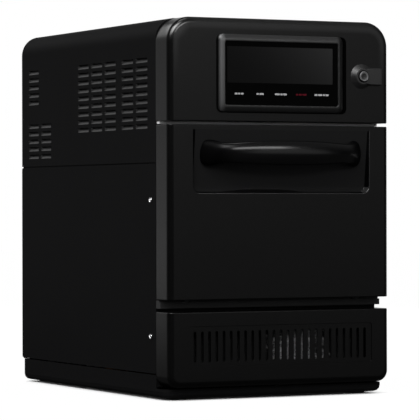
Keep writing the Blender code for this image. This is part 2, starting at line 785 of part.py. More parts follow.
def moulding(name, outline, depth, sharp_heights, carrier=None):
    """An open-backed front moulding with a rounded front rim and straight lips at the given heights."""
    low = min(z for _, z in outline(0))
    high = max(z for _, z in outline(0))
    body = front_plate(name, [outline(0)], 0, depth, carrier)
    lip = LIP_ROUND / FRONT_EDGE_ROUND

    def rim_weight(first, second):
        if not (at_depth(first, 0) and at_depth(second, 0)):
            return 0.0
        for height in (low, high):
            if height in sharp_heights and at_height(first, height) and at_height(second, height):
                return lip
        return 1.0

    weigh_edges(body, rim_weight)
    round_edges(body, FRONT_EDGE_ROUND)
    hollow = front_plate(name + "_hollow", [outline(MOULDING_WALL)], MOULDING_WALL, depth + OVERRUN, carrier)

    def hollow_weight(first, second):
        if not (at_depth(first, MOULDING_WALL) and at_depth(second, MOULDING_WALL)):
            return 0.0
        for height, inner in ((low, low + MOULDING_WALL), (high, high - MOULDING_WALL)):
            if height in sharp_heights and at_height(first, inner) and at_height(second, inner):
                return 0.0
        return 1.0

    weigh_edges(hollow, hollow_weight)
    round_edges(hollow, FRONT_EDGE_ROUND - MOULDING_WALL)
    return smooth(cut(body, hollow))


def head_outline(inset):
    """The control head seen from the front, drawn in by an inset."""
    return rounded_outline(
        -HALF_WIDTH + inset,
        HALF_WIDTH - inset,
        HEAD_LOW + inset,
        BODY_HEIGHT - inset,
        0,
        HEAD_CORNER - inset,
    )


def door_outline(inset):
    """The door seen from the front, drawn in by an inset."""
    return rounded_outline(-HALF_WIDTH + inset, HALF_WIDTH - inset, DOOR_LOW + inset, DOOR_HIGH - inset)


def lower_outline(inset):
    """The lower front panel seen from the front, drawn in by an inset."""
    return rounded_outline(
        -HALF_WIDTH + inset,
        HALF_WIDTH - inset,
        LOWER_PANEL_LOW + inset,
        LOWER_PANEL_HIGH - inset,
        LOWER_PANEL_CORNER - inset,
        0,
    )


def bulkhead_outline(low):
    """The front frame's and the rear panel's outline, which fits just inside the cover."""
    return rounded_outline(-FRAME_HALF, FRAME_HALF, low, FRAME_HIGH, 0, FRAME_CORNER)


def louvre_places():
    """Centre (y, z) of every louvre slit on one side of the cover."""
    places = []
    blocks = ((LOUVRE_FRONT_COLUMN, LOUVRE_FRONT_COLUMNS), (LOUVRE_MIDDLE_COLUMN, LOUVRE_MIDDLE_COLUMNS))
    for first_column, columns in blocks:
        for column in range(columns):
            y = first_column + column * LOUVRE_COLUMN_STEP
            places += [(y, LOUVRE_TOP - row * LOUVRE_PITCH) for row in range(LOUVRE_LONG_ROWS)]
    for row in range(LOUVRE_SHORT_ROWS):
        places.append((LOUVRE_REAR_COLUMN, LOUVRE_TOP - row * LOUVRE_PITCH))
        places.append((LOUVRE_REAR_COLUMN, LOUVRE_LOWER_TOP - row * LOUVRE_PITCH))
        places.append((LOUVRE_REAR_COLUMN - LOUVRE_COLUMN_STEP, LOUVRE_LOWER_TOP - row * LOUVRE_PITCH))
    return places


def make_upper_cover():
    """One folded sheet over both upper sides and the top, with its louvre slits."""
    half = HALF_WIDTH - SHEET / 2
    high = BODY_HEIGHT - SHEET / 2
    radius = COVER_CORNER - SHEET / 2
    fold = [(half, COVER_LOW)]
    fold += arc((half - radius, high - radius), radius, 0, 90)
    fold += arc((radius - half, high - radius), radius, 90, 180)
    fold.append((-half, COVER_LOW))
    length = BODY_DEPTH - COVER_FRONT
    middle = (0, (BODY_DEPTH + COVER_FRONT) / 2, 0)
    cover = outline_object("upper_cover", [fold], length, middle, FACING_FRONT, None, filled=False)
    thickness = cover.modifiers.new("sheet", "SOLIDIFY")
    thickness.thickness = SHEET
    thickness.offset = 0
    thickness.use_even_offset = True
    slits = []
    for y, z in louvre_places():
        for side in (-1, 1):
            x = side * HALF_WIDTH
            low = (x - OVERRUN, y - LOUVRE_LENGTH / 2, z - LOUVRE_SLIT / 2)
            high = (x + OVERRUN, y + LOUVRE_LENGTH / 2, z + LOUVRE_SLIT / 2)
            slits.append((low, high))
    cut(cover, boxes("louvre_slits", slits))
    coat(smooth(cover), "black_coat")


def make_side_panels():
    """Lower side sheets with their two screw holes each."""
    outline = rounded_outline(
        COVER_FRONT, BODY_DEPTH, SIDE_PANEL_LOW, SIDE_PANEL_HIGH, SIDE_PANEL_CORNER, SIDE_PANEL_CORNER
    )
    holes = [circle_outline((FRAME_SCREW_Y, z), SCREW_HOLE_RADIUS) for z in (LOWER_SCREW_Z, UPPER_SCREW_Z)]
    for name, side in (("left", -1), ("right", 1)):
        low, high = sorted((side * INNER_HALF, side * HALF_WIDTH))
        coat(side_plate(name + "_side_panel", [outline, *holes], low, high), "black_coat")


def make_side_screws():
    """Pan-head screws that hold the side panels to the front frame's flanges."""
    for name, side, turn in (("left", -1, FACING_LEFT), ("right", 1, FACING_RIGHT)):
        for level, z in (("lower", LOWER_SCREW_Z), ("upper", UPPER_SCREW_Z)):
            crown = SEAT_GAP + SCREW_HEAD_TALL
            profile = [(0, crown), (SCREW_HEAD_RADIUS * SCREW_CROWN_SHARE, crown)]
            profile += [(SCREW_HEAD_RADIUS, SEAT_GAP + SCREW_HEAD_TALL / 2), (SCREW_HEAD_RADIUS, SEAT_GAP)]
            profile += [(SCREW_SHANK_RADIUS, SEAT_GAP), (SCREW_SHANK_RADIUS, -SCREW_LENGTH)]
            profile += [(0, -SCREW_LENGTH)]
            spot = (side * HALF_WIDTH, FRAME_SCREW_Y, z)
            screw = turned(f"{name}_{level}_side_screw", profile, spot, turn, sides=SMALL_SIDES)
            coat(screw, "bright_metal")


def make_rear_panel():
    """Rear sheet with two columns of vents and the gland's hole."""
    holes = [circle_outline((GLAND_X, GLAND_Z), GLAND_HOLE_RADIUS)]
    for side in (-1, 1):
        for row in range(REAR_VENT_ROWS):
            z = REAR_VENT_TOP - row * REAR_VENT_PITCH
            x = side * REAR_VENT_COLUMN_X
            half, tall = REAR_VENT_LENGTH / 2, REAR_VENT_TALL / 2
            holes.append(rounded_outline(x - half, x + half, z - tall, z + tall))
    low = BASE_HIGH + SEAT_GAP
    panel = front_plate("rear_panel", [bulkhead_outline(low), *holes], REAR_PANEL_FRONT, REAR_PANEL_BACK)
    coat(panel, "black_coat")


def base_outline(inset):
    """The base pan seen from above, drawn in by an inset."""
    return rounded_outline(
        -HALF_WIDTH + inset,
        HALF_WIDTH - inset,
        PLINTH_SETBACK + inset,
        BODY_DEPTH - inset,
        BASE_FRONT_CORNER - inset,
        BASE_REAR_CORNER - inset,
    )


def make_base_pan():
    """Pressed tray whose front stands lower as the plinth under the lower front panel."""
    pan = plan_plate("base_pan", [base_outline(0)], BASE_LOW, BASE_HIGH)
    weigh_edges(pan, lambda a, b: float(at_height(a, BASE_LOW) and at_height(b, BASE_LOW)))
    round_edges(pan, BASE_EDGE_ROUND)
    hollow = plan_plate("base_pan_hollow", [base_outline(SHEET)], BASE_FLOOR, BASE_HIGH + OVERRUN)
    weigh_edges(hollow, lambda a, b: float(at_height(a, BASE_FLOOR) and at_height(b, BASE_FLOOR)))
    round_edges(hollow, BASE_EDGE_ROUND - SHEET)
    low = (-HALF_WIDTH - OVERRUN, PLINTH_SETBACK - OVERRUN, PLINTH_HIGH)
    high = (HALF_WIDTH + OVERRUN, COVER_FRONT, BASE_HIGH + OVERRUN)
    cut(pan, hollow, box("plinth_step", low, high))
    coat(smooth(pan), "black_coat")


def make_feet():
    """Low rubber pads under the base pan."""
    for name, side, y in (
        ("front_left_foot", -1, PLINTH_SETBACK + FOOT_INSET_Y),
        ("front_right_foot", 1, PLINTH_SETBACK + FOOT_INSET_Y),
        ("rear_left_foot", -1, BODY_DEPTH - FOOT_INSET_Y),
        ("rear_right_foot", 1, BODY_DEPTH - FOOT_INSET_Y),
    ):
        x = side * (HALF_WIDTH - FOOT_INSET_X)
        foot = drum(name, FOOT_RADIUS, (x, y, 0), (x, y, BASE_LOW - SEAT_GAP))
        coat(foot, "rubber")


def make_front_frame():
    """Full-height front bulkhead with its openings and its folded side flanges."""
    holes = [
        rounded_outline(-CAVITY_HALF_WIDTH, CAVITY_HALF_WIDTH, CAVITY_LOW, CAVITY_HIGH),
        rounded_outline(-INTAKE_HALF_WIDTH, INTAKE_HALF_WIDTH, INTAKE_LOW, INTAKE_HIGH),
        rounded_outline(
            CONTROL_OPENING_LEFT, CONTROL_OPENING_RIGHT, CONTROL_OPENING_LOW, CONTROL_OPENING_HIGH
        ),
    ]
    flange_back = FRAME_FRONT + FLANGE_DEPTH
    frame = front_plate("front_frame", [bulkhead_outline(FRAME_LOW), *holes], FRAME_FRONT, flange_back)
    wide = FRAME_HALF + OVERRUN
    behind = flange_back + OVERRUN
    inner_low = (-FLANGE_INNER, FRAME_BACK, FRAME_LOW - OVERRUN)
    inner_high = (FLANGE_INNER, behind, FRAME_HIGH + OVERRUN)
    above = box("above_flanges", (-wide, FRAME_BACK, FLANGE_HIGH), (wide, behind, FRAME_HIGH + 2 * OVERRUN))
    below = box("below_flanges", (-wide, FRAME_BACK, FRAME_LOW - 2 * OVERRUN), (wide, behind, FLANGE_LOW))
    slots = []
    for side in (-1, 1):
        for middle, width, low, high in (
            (side * TONGUE_X, TONGUE_SLOT_WIDTH, TONGUE_SLOT_LOW, TONGUE_SLOT_HIGH),
            (side * HINGE_ARM_X, HINGE_SLOT_WIDTH, DECK_HIGH, HINGE_SLOT_HIGH),
        ):
            front_corner = (middle - width / 2, FRAME_FRONT - OVERRUN, low)
            slots.append((front_corner, (middle + width / 2, FRAME_BACK + OVERRUN, high)))
    cut(frame, box("frame_hollow", inner_low, inner_high), above, below, boxes("frame_slots", slots))
    for name, side in (("left_flange", -1), ("right_flange", 1)):
        for level, z in (("lower", LOWER_SCREW_Z), ("upper", UPPER_SCREW_Z)):
            start = (side * (FLANGE_INNER - OVERRUN), FRAME_SCREW_Y, z)
            end = (side * (FRAME_HALF + OVERRUN), FRAME_SCREW_Y, z)
            cut(frame, drum(f"{name}_{level}_hole", SCREW_HOLE_RADIUS, start, end, sides=SMALL_SIDES))
    coat(frame, "galvanised")


def make_sill_bar():
    """Full-width bar in the groove under the door, its raised back notched for the hinge arms."""
    back = FRAME_FRONT - SEAT_GAP
    section = [(SILL_FRONT, SILL_LOW), (back, SILL_LOW), (back, SILL_STEP_HIGH)]
    section += [(SILL_STEP_FRONT, SILL_STEP_HIGH), (SILL_STEP_FRONT, SILL_HIGH), (SILL_FRONT, SILL_HIGH)]
    bar = side_plate("sill_bar", [section], -HALF_WIDTH, HALF_WIDTH)
    notches = []
    for side in (-1, 1):
        low = (side * HINGE_ARM_X - HINGE_SLOT_WIDTH / 2, SILL_STEP_FRONT - OVERRUN, SILL_HIGH)
        high = (side * HINGE_ARM_X + HINGE_SLOT_WIDTH / 2, back + OVERRUN, SILL_STEP_HIGH + OVERRUN)
        notches.append((low, high))
    coat(cut(bar, boxes("sill_notches", notches)), "black_coat")


def make_decks():
    """The lower deck carries the cavity and the microwave parts, the upper one the power board."""
    outline = rounded_outline(-DECK_HALF, DECK_HALF, DECK_FRONT, DECK_BACK)
    dome = circle_outline((MAGNETRON_X, FEED_Y), MAGNETRON_HOLE_RADIUS)
    shaft = circle_outline((0, FEED_Y), DECK_SHAFT_HOLE)
    coat(plan_plate("lower_deck", [outline, dome, shaft], DECK_LOW, DECK_HIGH), "galvanised")
    coat(plan_plate("upper_deck", [outline], UPPER_DECK_LOW, UPPER_DECK_HIGH), "galvanised")


def make_control_head():
    """Moulded head with the display window, the power button's boss and a drip lip over the door."""
    head = moulding("control_head", head_outline, MOULDING_DEPTH, (HEAD_LOW,))
    slope = (BOSS_BASE_RADIUS - BOSS_FACE_RADIUS) / BOSS_PROUD
    sink = MOULDING_WALL / 3
    cone = drum(
        "boss_cone",
        BOSS_BASE_RADIUS + slope * sink,
        (BUTTON_X, sink, BUTTON_Z),
        (BUTTON_X, BOSS_FACE_Y, BUTTON_Z),
        far_radius=BOSS_FACE_RADIUS,
        sides=2 * ROUND_SIDES,
    )
    low = (BUTTON_X, BOSS_FACE_Y, BUTTON_Z - BOSS_FACE_RADIUS)
    high = (BOSS_TAB_END, sink, BUTTON_Z + BOSS_FACE_RADIUS)
    tab = box("boss_tab", low, high)
    half = HALF_WIDTH - MOULDING_WALL / 2
    low = (-half, DRIP_LIP_FRONT, DRIP_LIP_LOW)
    high = (half, MOULDING_DEPTH - SEAT_GAP, HEAD_LOW + MOULDING_WALL / 2)
    join(head, cone, tab, box("drip_lip", low, high))
    bore = BUTTON_BARREL_RADIUS + SEAT_GAP
    start = (BUTTON_X, BOSS_FACE_Y - OVERRUN, BUTTON_Z)
    cut(head, drum("button_hole", bore, start, (BUTTON_X, MOULDING_WALL + OVERRUN, BUTTON_Z)))
    half_width = GLASS_WIDTH / 2 - MODULE_INSET + WINDOW_CLEARANCE
    half_tall = GLASS_TALL / 2 - MODULE_INSET + WINDOW_CLEARANCE
    low = (BEZEL_CENTRE_X - half_width, -OVERRUN, DISPLAY_HEIGHT_Z - half_tall)
    high = (BEZEL_CENTRE_X + half_width, MOULDING_WALL + OVERRUN, DISPLAY_HEIGHT_Z + half_tall)
    cut(head, box("display_window", low, high))
    coat(head, "black_moulding")


def display_outline(width, tall, radius):
    """A rounded rectangle centred on the display."""
    return rounded_outline(
        BEZEL_CENTRE_X - width / 2,
        BEZEL_CENTRE_X + width / 2,
        DISPLAY_HEIGHT_Z - tall / 2,
        DISPLAY_HEIGHT_Z + tall / 2,
        radius,
        radius,
    )


def make_display():
    """Raised bezel, black glass, display module and the board behind it."""
    outer = display_outline(BEZEL_WIDTH, BEZEL_TALL, BEZEL_CORNER)
    bezel = front_plate("display_bezel", [outer], -BEZEL_PROUD, -SEAT_GAP)
    weigh_edges(bezel, lambda a, b: float(at_depth(a, -BEZEL_PROUD) and at_depth(b, -BEZEL_PROUD)))
    round_edges(bezel, BEZEL_EDGE_ROUND)
    shown = display_outline(GLASS_SHOWN_WIDTH, GLASS_SHOWN_TALL, GLASS_CORNER)
    window = front_plate("bezel_window", [shown], -BEZEL_PROUD - OVERRUN, OVERRUN)
    rebate_outline = display_outline(
        GLASS_WIDTH + 2 * SEAT_GAP, GLASS_TALL + 2 * SEAT_GAP, GLASS_CORNER + SEAT_GAP
    )
    rebate = front_plate("bezel_rebate", [rebate_outline], -BEZEL_PROUD + BEZEL_LIP, OVERRUN)
    coat(smooth(cut(bezel, window, rebate)), "black_moulding")
    glass_outline = display_outline(GLASS_WIDTH, GLASS_TALL, GLASS_CORNER)
    glass = front_plate("display_glass", [glass_outline], GLASS_BACK - GLASS_THICK, GLASS_BACK)
    coat(glass, "glass_black")
    half_width = GLASS_WIDTH / 2 - MODULE_INSET
    half_tall = GLASS_TALL / 2 - MODULE_INSET
    low = (BEZEL_CENTRE_X - half_width, MODULE_FRONT, DISPLAY_HEIGHT_Z - half_tall)
    high = (BEZEL_CENTRE_X + half_width, MODULE_BACK, DISPLAY_HEIGHT_Z + half_tall)
    coat(box("display_module", low, high), "dark_plastic")
    board_front = MODULE_BACK + SEAT_GAP + BOARD_PILLAR
    half_width -= BOARD_INSET
    half_tall -= BOARD_INSET
    low = (BEZEL_CENTRE_X - half_width, board_front, DISPLAY_HEIGHT_Z - half_tall)
    high = (BEZEL_CENTRE_X + half_width, board_front + BOARD_THICK, DISPLAY_HEIGHT_Z + half_tall)
    board = box("control_board", low, high)
    for across in (-1, 1):
        for along in (-1, 1):
            x = BEZEL_CENTRE_X + across * (half_width - BOARD_INSET)
            z = DISPLAY_HEIGHT_Z + along * (half_tall - BOARD_INSET)
            start = (x, MODULE_BACK + SEAT_GAP, z)
            end = (x, board_front + BOARD_THICK / 2, z)
            join(board, drum(f"board_pillar_{across}_{along}", PILLAR_RADIUS, start, end, sides=SMALL_SIDES))
    coat(board, "circuit_board")


def make_power_button():
    """Metal-ringed push button: fixed housing and nut, sprung cap and the switch behind."""
    barrel_end = RING_BACK_Y + BUTTON_BARREL_LENGTH
    shoulder = RING_FRONT_Y + BUTTON_SHOULDER
    cap_bore = BUTTON_CAP_RADIUS + SEAT_GAP
    collar_bore = BUTTON_COLLAR_RADIUS + SEAT_GAP
    bore_end = RING_FRONT_Y + BUTTON_BORE_END
    axis_spot = (BUTTON_X, 0, BUTTON_Z)
    # A turned profile's heights run towards the front, so a depth y becomes a height of -y.
    profile = [(cap_bore, -RING_FRONT_Y), (BUTTON_RING_RADIUS * BUTTON_RING_FACE_SHARE, -RING_FRONT_Y)]
    profile += [(BUTTON_RING_RADIUS, -RING_FRONT_Y - BUTTON_RING_PROUD / 3)]
    profile += [(BUTTON_RING_RADIUS, -RING_BACK_Y), (BUTTON_BARREL_RADIUS, -RING_BACK_Y)]
    profile += [(BUTTON_BARREL_RADIUS, -barrel_end), (0, -barrel_end), (0, -bore_end)]
    profile += [(collar_bore, -bore_end), (collar_bore, -shoulder), (cap_bore, -shoulder)]
    housing = turned("power_button_housing", profile + [profile[0]], axis_spot, FACING_FRONT)
    coat(housing, "bright_metal")
    axis = new_axis("power_button_axis", (BUTTON_X, RING_FRONT_Y, BUTTON_Z), OVEN)
    cap_front = RING_FRONT_Y + BUTTON_CAP_SUNK
    collar_front = shoulder + SEAT_GAP
    collar_back = collar_front + BUTTON_COLLAR_THICK
    stem_end = RING_FRONT_Y + BUTTON_STEM_END - BUTTON_TRAVEL
    profile = [(0, -cap_front), (BUTTON_CAP_RADIUS, -cap_front), (BUTTON_CAP_RADIUS, -collar_front)]
    profile += [(BUTTON_COLLAR_RADIUS, -collar_front), (BUTTON_COLLAR_RADIUS, -collar_back)]
    profile += [(BUTTON_STEM_RADIUS, -collar_back), (BUTTON_STEM_RADIUS, -stem_end), (0, -stem_end)]
    coat(turned("power_button_cap", profile, axis_spot, FACING_FRONT, axis), "gloss_black")
    nut_front = MOULDING_WALL + SEAT_GAP
    outlines = [
        circle_outline((BUTTON_X, BUTTON_Z), NUT_RADIUS, NUT_SIDES),
        circle_outline((BUTTON_X, BUTTON_Z), BUTTON_BARREL_RADIUS + SEAT_GAP),
    ]
    coat(front_plate("power_button_nut", outlines, nut_front, nut_front + NUT_THICK), "bright_metal")
    low = (BUTTON_X - SWITCH_HALF, barrel_end + SEAT_GAP, BUTTON_Z - SWITCH_HALF)
    high = (BUTTON_X + SWITCH_HALF, barrel_end + SEAT_GAP + SWITCH_LENGTH, BUTTON_Z + SWITCH_HALF)
    coat(box("power_switch", low, high), "dark_plastic")


def recess_profile(offset, edge):
    """Side view of the space between the recess floor, moved back by an offset, and an upright edge."""
    cove = [
        (RECESS_DEPTH * math.cos(angle) + offset, RECESS_LOW + RECESS_COVE * (1 - math.sin(angle)))
        for angle in (math.radians(90 * i / ARC_STEPS) for i in range(ARC_STEPS + 1))
    ]
    floor = [(offset, RECESS_HIGH), *cove]
    return [(edge, RECESS_HIGH), *floor, (edge, RECESS_LOW)]


def make_door_shell(axis):
    """Outer door moulding with the handle recess, hinge ribs and slots for the hinge arms."""
    door = moulding("door_shell", door_outline, DOOR_DEPTH, (DOOR_LOW, DOOR_HIGH), axis)
    left = HANDLE_CENTRE_X - RECESS_HALF_WIDTH
    right = HANDLE_CENTRE_X + RECESS_HALF_WIDTH
    low = (left - MOULDING_WALL, MOULDING_WALL / 2, RECESS_LOW - MOULDING_WALL)
    high = (right + MOULDING_WALL, RECESS_DEPTH + MOULDING_WALL, RECESS_HIGH + MOULDING_WALL)
    join(door, box("recess_pocket", low, high, axis))
    recess = side_plate("handle_recess", [recess_profile(0, -OVERRUN)], left, right, axis)
    trim_outline = rounded_outline(left, right, RECESS_LOW, RECESS_HIGH, RECESS_CORNER, 0)
    trim = front_plate("recess_trim", [trim_outline], -2 * OVERRUN, RECESS_DEPTH + OVERRUN, axis)
    combine(recess, "INTERSECT", [trim])
    cut(door, recess)
    for name, side in (("left", -1), ("right", 1)):
        for rib, step in (("inner", -1), ("outer", 1)):
            near = side * HINGE_ARM_X + side * step * HINGE_RIB_OFFSET
            far = near + side * step * HINGE_RIB_THICK
            low = (min(near, far), MOULDING_WALL / 2, DOOR_LOW + MOULDING_WALL / 2)
            high = (max(near, far), HINGE_RIB_DEPTH, HINGE_RIB_HIGH)
            join(door, box(f"{name}_{rib}_hinge_rib", low, high, axis))
        reach = HINGE_RIB_OFFSET + HINGE_RIB_THICK + OVERRUN
        start = (side * HINGE_ARM_X - reach, HINGE_Y, HINGE_Z)
        end = (side * HINGE_ARM_X + reach, HINGE_Y, HINGE_Z)
        bore = HINGE_PIN_RADIUS + SEAT_GAP
        cut(door, drum(f"{name}_pin_bore", bore, start, end, axis, sides=SMALL_SIDES))
        slot_half = HINGE_SLOT_WIDTH / 2
        low = (side * HINGE_ARM_X - slot_half, MOULDING_WALL, DOOR_LOW - OVERRUN)
        high = (side * HINGE_ARM_X + slot_half, DOOR_DEPTH + OVERRUN, DOOR_LOW + 2 * MOULDING_WALL)
        cut(door, box(f"{name}_arm_slot", low, high, axis))
    coat(door, "black_moulding")


def handle_section(place, front, back, half_height):
    """One section of the handle across its span: a rounded loop in y and z."""
    points = []
    for i in range(HANDLE_SIDES):
        angle = 2 * math.pi * i / HANDLE_SIDES
        across, along = math.cos(angle), math.sin(angle)
        flat = 2 / HANDLE_POWER
        y = (front + back) / 2 + (back - front) / 2 * math.copysign(abs(across) ** flat, across)
        z = HANDLE_Z + half_height * math.copysign(abs(along) ** flat, along)
        points.append((place, y, z))
    return points


def make_door_handle(axis):
    """Arched handle lofted through unlike sections, with feet cut to the recess floor."""
    stations = [(-share, *rest) for share, *rest in reversed(HANDLE_STATION_SHARES[1:])]
    stations += HANDLE_STATION_SHARES
    shape = bmesh.new()
    rings = []
    for place, front, back, height in stations:
        section = handle_section(
            HANDLE_CENTRE_X + place * HANDLE_HALF_SPAN,
            -front * HANDLE_REACH,
            -back * HANDLE_REACH,
            height * HANDLE_HALF_HEIGHT,
        )
        rings.append([shape.verts.new(point) for point in section])
    for first, second in zip(rings, rings[1:]):
        for i in range(HANDLE_SIDES):
            j = (i + 1) % HANDLE_SIDES
            shape.faces.new((first[i], first[j], second[j], second[i]))
    shape.faces.new(rings[0])
    shape.faces.new(rings[-1])
    bmesh.ops.recalc_face_normals(shape, faces=shape.faces)
    for vertex in shape.verts:
        vertex.co -= axis.location
    handle = mesh_object("door_handle", shape, axis.location, axis)
    behind = recess_profile(-SEAT_GAP, RECESS_DEPTH + 3 * MOULDING_WALL)
    left = HANDLE_CENTRE_X - HANDLE_HALF_SPAN - OVERRUN
    right = HANDLE_CENTRE_X + HANDLE_HALF_SPAN + OVERRUN
    cut(handle, side_plate("handle_seat", [behind], left, right, axis))
    coat(smooth(handle, math.radians(50)), "gloss_black")


def make_door_inside(axis):
    """Liner with its plug, the seal, the insulation and the interlock tongues."""
    half = HALF_WIDTH - MOULDING_WALL - LINER_CLEARANCE
    low = DOOR_LOW + MOULDING_WALL
    high = DOOR_HIGH - MOULDING_WALL - SEAT_GAP
    notches = []
    for side in (-1, 1):
        slot_half = HINGE_SLOT_WIDTH / 2
        notches.append(
            (
                (side * HINGE_ARM_X - slot_half, LINER_FRONT - OVERRUN, low - OVERRUN),
                (side * HINGE_ARM_X + slot_half, LINER_BACK + OVERRUN, HINGE_SLOT_HIGH),
            )
        )
    liner = box("door_liner", (-half, LINER_FRONT, low + SEAT_GAP), (half, LINER_BACK, high), axis)
    plug_half = CAVITY_HALF_WIDTH - PLUG_CLEARANCE
    plug_low = CAVITY_LOW + PLUG_CLEARANCE
    plug_high = CAVITY_HIGH - PLUG_CLEARANCE
    middle = (LINER_FRONT + LINER_BACK) / 2
    plug = box("door_plug", (-plug_half, middle, plug_low), (plug_half, PLUG_BACK, plug_high), axis)
    join(liner, plug)
    cut_low = (-plug_half + PLUG_WALL, LINER_FRONT - OVERRUN, plug_low + PLUG_WALL)
    cut_high = (plug_half - PLUG_WALL, PLUG_BACK - PLUG_WALL, plug_high - PLUG_WALL)
    cut(liner, box("plug_hollow", cut_low, cut_high, axis), boxes("liner_notches", notches, axis))
    coat(liner, "stainless")
    inner = (CAVITY_HALF_WIDTH + SEAL_LAP, CAVITY_LOW - SEAL_LAP, CAVITY_HIGH + SEAL_LAP)
    seal_outlines = [
        rounded_outline(
            -inner[0] - SEAL_WIDTH, inner[0] + SEAL_WIDTH, inner[1] - SEAL_WIDTH, inner[2] + SEAL_WIDTH
        ),
        rounded_outline(-inner[0], inner[0], inner[1], inner[2]),
    ]
    seal_front = LINER_BACK + SEAT_GAP
    coat(front_plate("door_seal", seal_outlines, seal_front, FRAME_FRONT - SEAT_GAP, axis), "seal")
    half = HALF_WIDTH - INSULATION_INSET
    low = (-half, INSULATION_FRONT, INSULATION_LOW)
    high = (half, LINER_FRONT - SEAT_GAP, INSULATION_HIGH)
    coat(box("door_insulation", low, high, axis), "insulation")
    for name, side in (("left", -1), ("right", 1)):
        x = side * TONGUE_X
        low = (x - TONGUE_THICK / 2, LINER_BACK + SEAT_GAP, TONGUE_LOW)
        high = (x + TONGUE_THICK / 2, LINER_BACK + SEAT_GAP + TONGUE_LENGTH, TONGUE_LOW + TONGUE_TALL)
        coat(box(f"{name}_interlock_tongue", low, high, axis), "bright_metal")


def make_hinges(axis):
    """Hinge arms fixed on the lower deck and the pins that the door turns on."""
    beam = [
        (HINGE_Y, HINGE_Z - HINGE_BEAM_SHARE * HINGE_EYE_RADIUS),
        (SILL_FRONT, ARM_LOW),
        (HINGE_ARM_REACH, ARM_LOW),
        (HINGE_ARM_REACH, HINGE_ARM_HIGH),
        (FRAME_FRONT - HINGE_ARM_THICK, HINGE_ARM_HIGH),
        (HINGE_Y, HINGE_Z + HINGE_BEAM_SHARE * HINGE_EYE_RADIUS),
    ]
    for name, side in (("left", -1), ("right", 1)):
        low = side * HINGE_ARM_X - HINGE_ARM_THICK / 2
        high = side * HINGE_ARM_X + HINGE_ARM_THICK / 2
        arm = side_plate(f"{name}_hinge_arm", [beam], low, high)
        eye = drum(f"{name}_hinge_eye", HINGE_EYE_RADIUS, (low, HINGE_Y, HINGE_Z), (high, HINGE_Y, HINGE_Z))
        join(arm, eye)
        bore = HINGE_PIN_RADIUS + SEAT_GAP
        start = (low - OVERRUN, HINGE_Y, HINGE_Z)
        end = (high + OVERRUN, HINGE_Y, HINGE_Z)
        cut(arm, drum(f"{name}_eye_bore", bore, start, end))
        coat(arm, "galvanised")
        reach = HINGE_RIB_OFFSET + HINGE_RIB_THICK + MOULDING_WALL / 2
        start = (side * HINGE_ARM_X - reach, HINGE_Y, HINGE_Z)
        end = (side * HINGE_ARM_X + reach, HINGE_Y, HINGE_Z)
        coat(drum(f"{name}_hinge_pin", HINGE_PIN_RADIUS, start, end, axis), "bright_metal")


def make_interlock_switches():
    """Switch blocks on the front frame's back, beside the tongues' paths."""
    for name, side in (("left", -1), ("right", 1)):
        near = TONGUE_X + TONGUE_THICK / 2 + SHAFT_CLEARANCE
        low_x, high_x = sorted((side * near, side * (near + INTERLOCK_WIDTH)))
        low = (low_x, FRAME_BACK + SEAT_GAP, INTERLOCK_LOW)
        high = (high_x, FRAME_BACK + SEAT_GAP + INTERLOCK_DEPTH, INTERLOCK_HIGH)
        coat(box(f"{name}_interlock_switch", low, high), "dark_plastic")


def make_lower_front_panel():
    """Moulded intake panel with its sunk field and 25 upright slots, and the filter behind it."""
    panel = moulding("lower_front_panel", lower_outline, MOULDING_DEPTH, (LOWER_PANEL_HIGH,))
    field = rounded_outline(
        -GRILLE_HALF_WIDTH, GRILLE_HALF_WIDTH, GRILLE_LOW, GRILLE_HIGH, GRILLE_CORNER, GRILLE_CORNER
    )
    slots = []
    for i in range(GRILLE_SLOTS):
        x = (i - (GRILLE_SLOTS - 1) / 2) * GRILLE_SLOT_PITCH
        slots.append(slot_outline(x, GRILLE_SLOT_LOW, GRILLE_SLOT_HIGH, GRILLE_SLOT_WIDTH))
    cut(panel, front_plate("grille_field", [field], -OVERRUN, GRILLE_SUNK))
    cut(panel, front_plate("grille_slots", slots, -OVERRUN, MOULDING_WALL + OVERRUN))
    coat(panel, "black_moulding")
    low = (-FILTER_HALF_WIDTH, FILTER_FRONT, FILTER_LOW)
    high = (FILTER_HALF_WIDTH, FRAME_FRONT - SEAT_GAP, FILTER_HIGH)
    coat(box("air_filter", low, high), "aluminium")


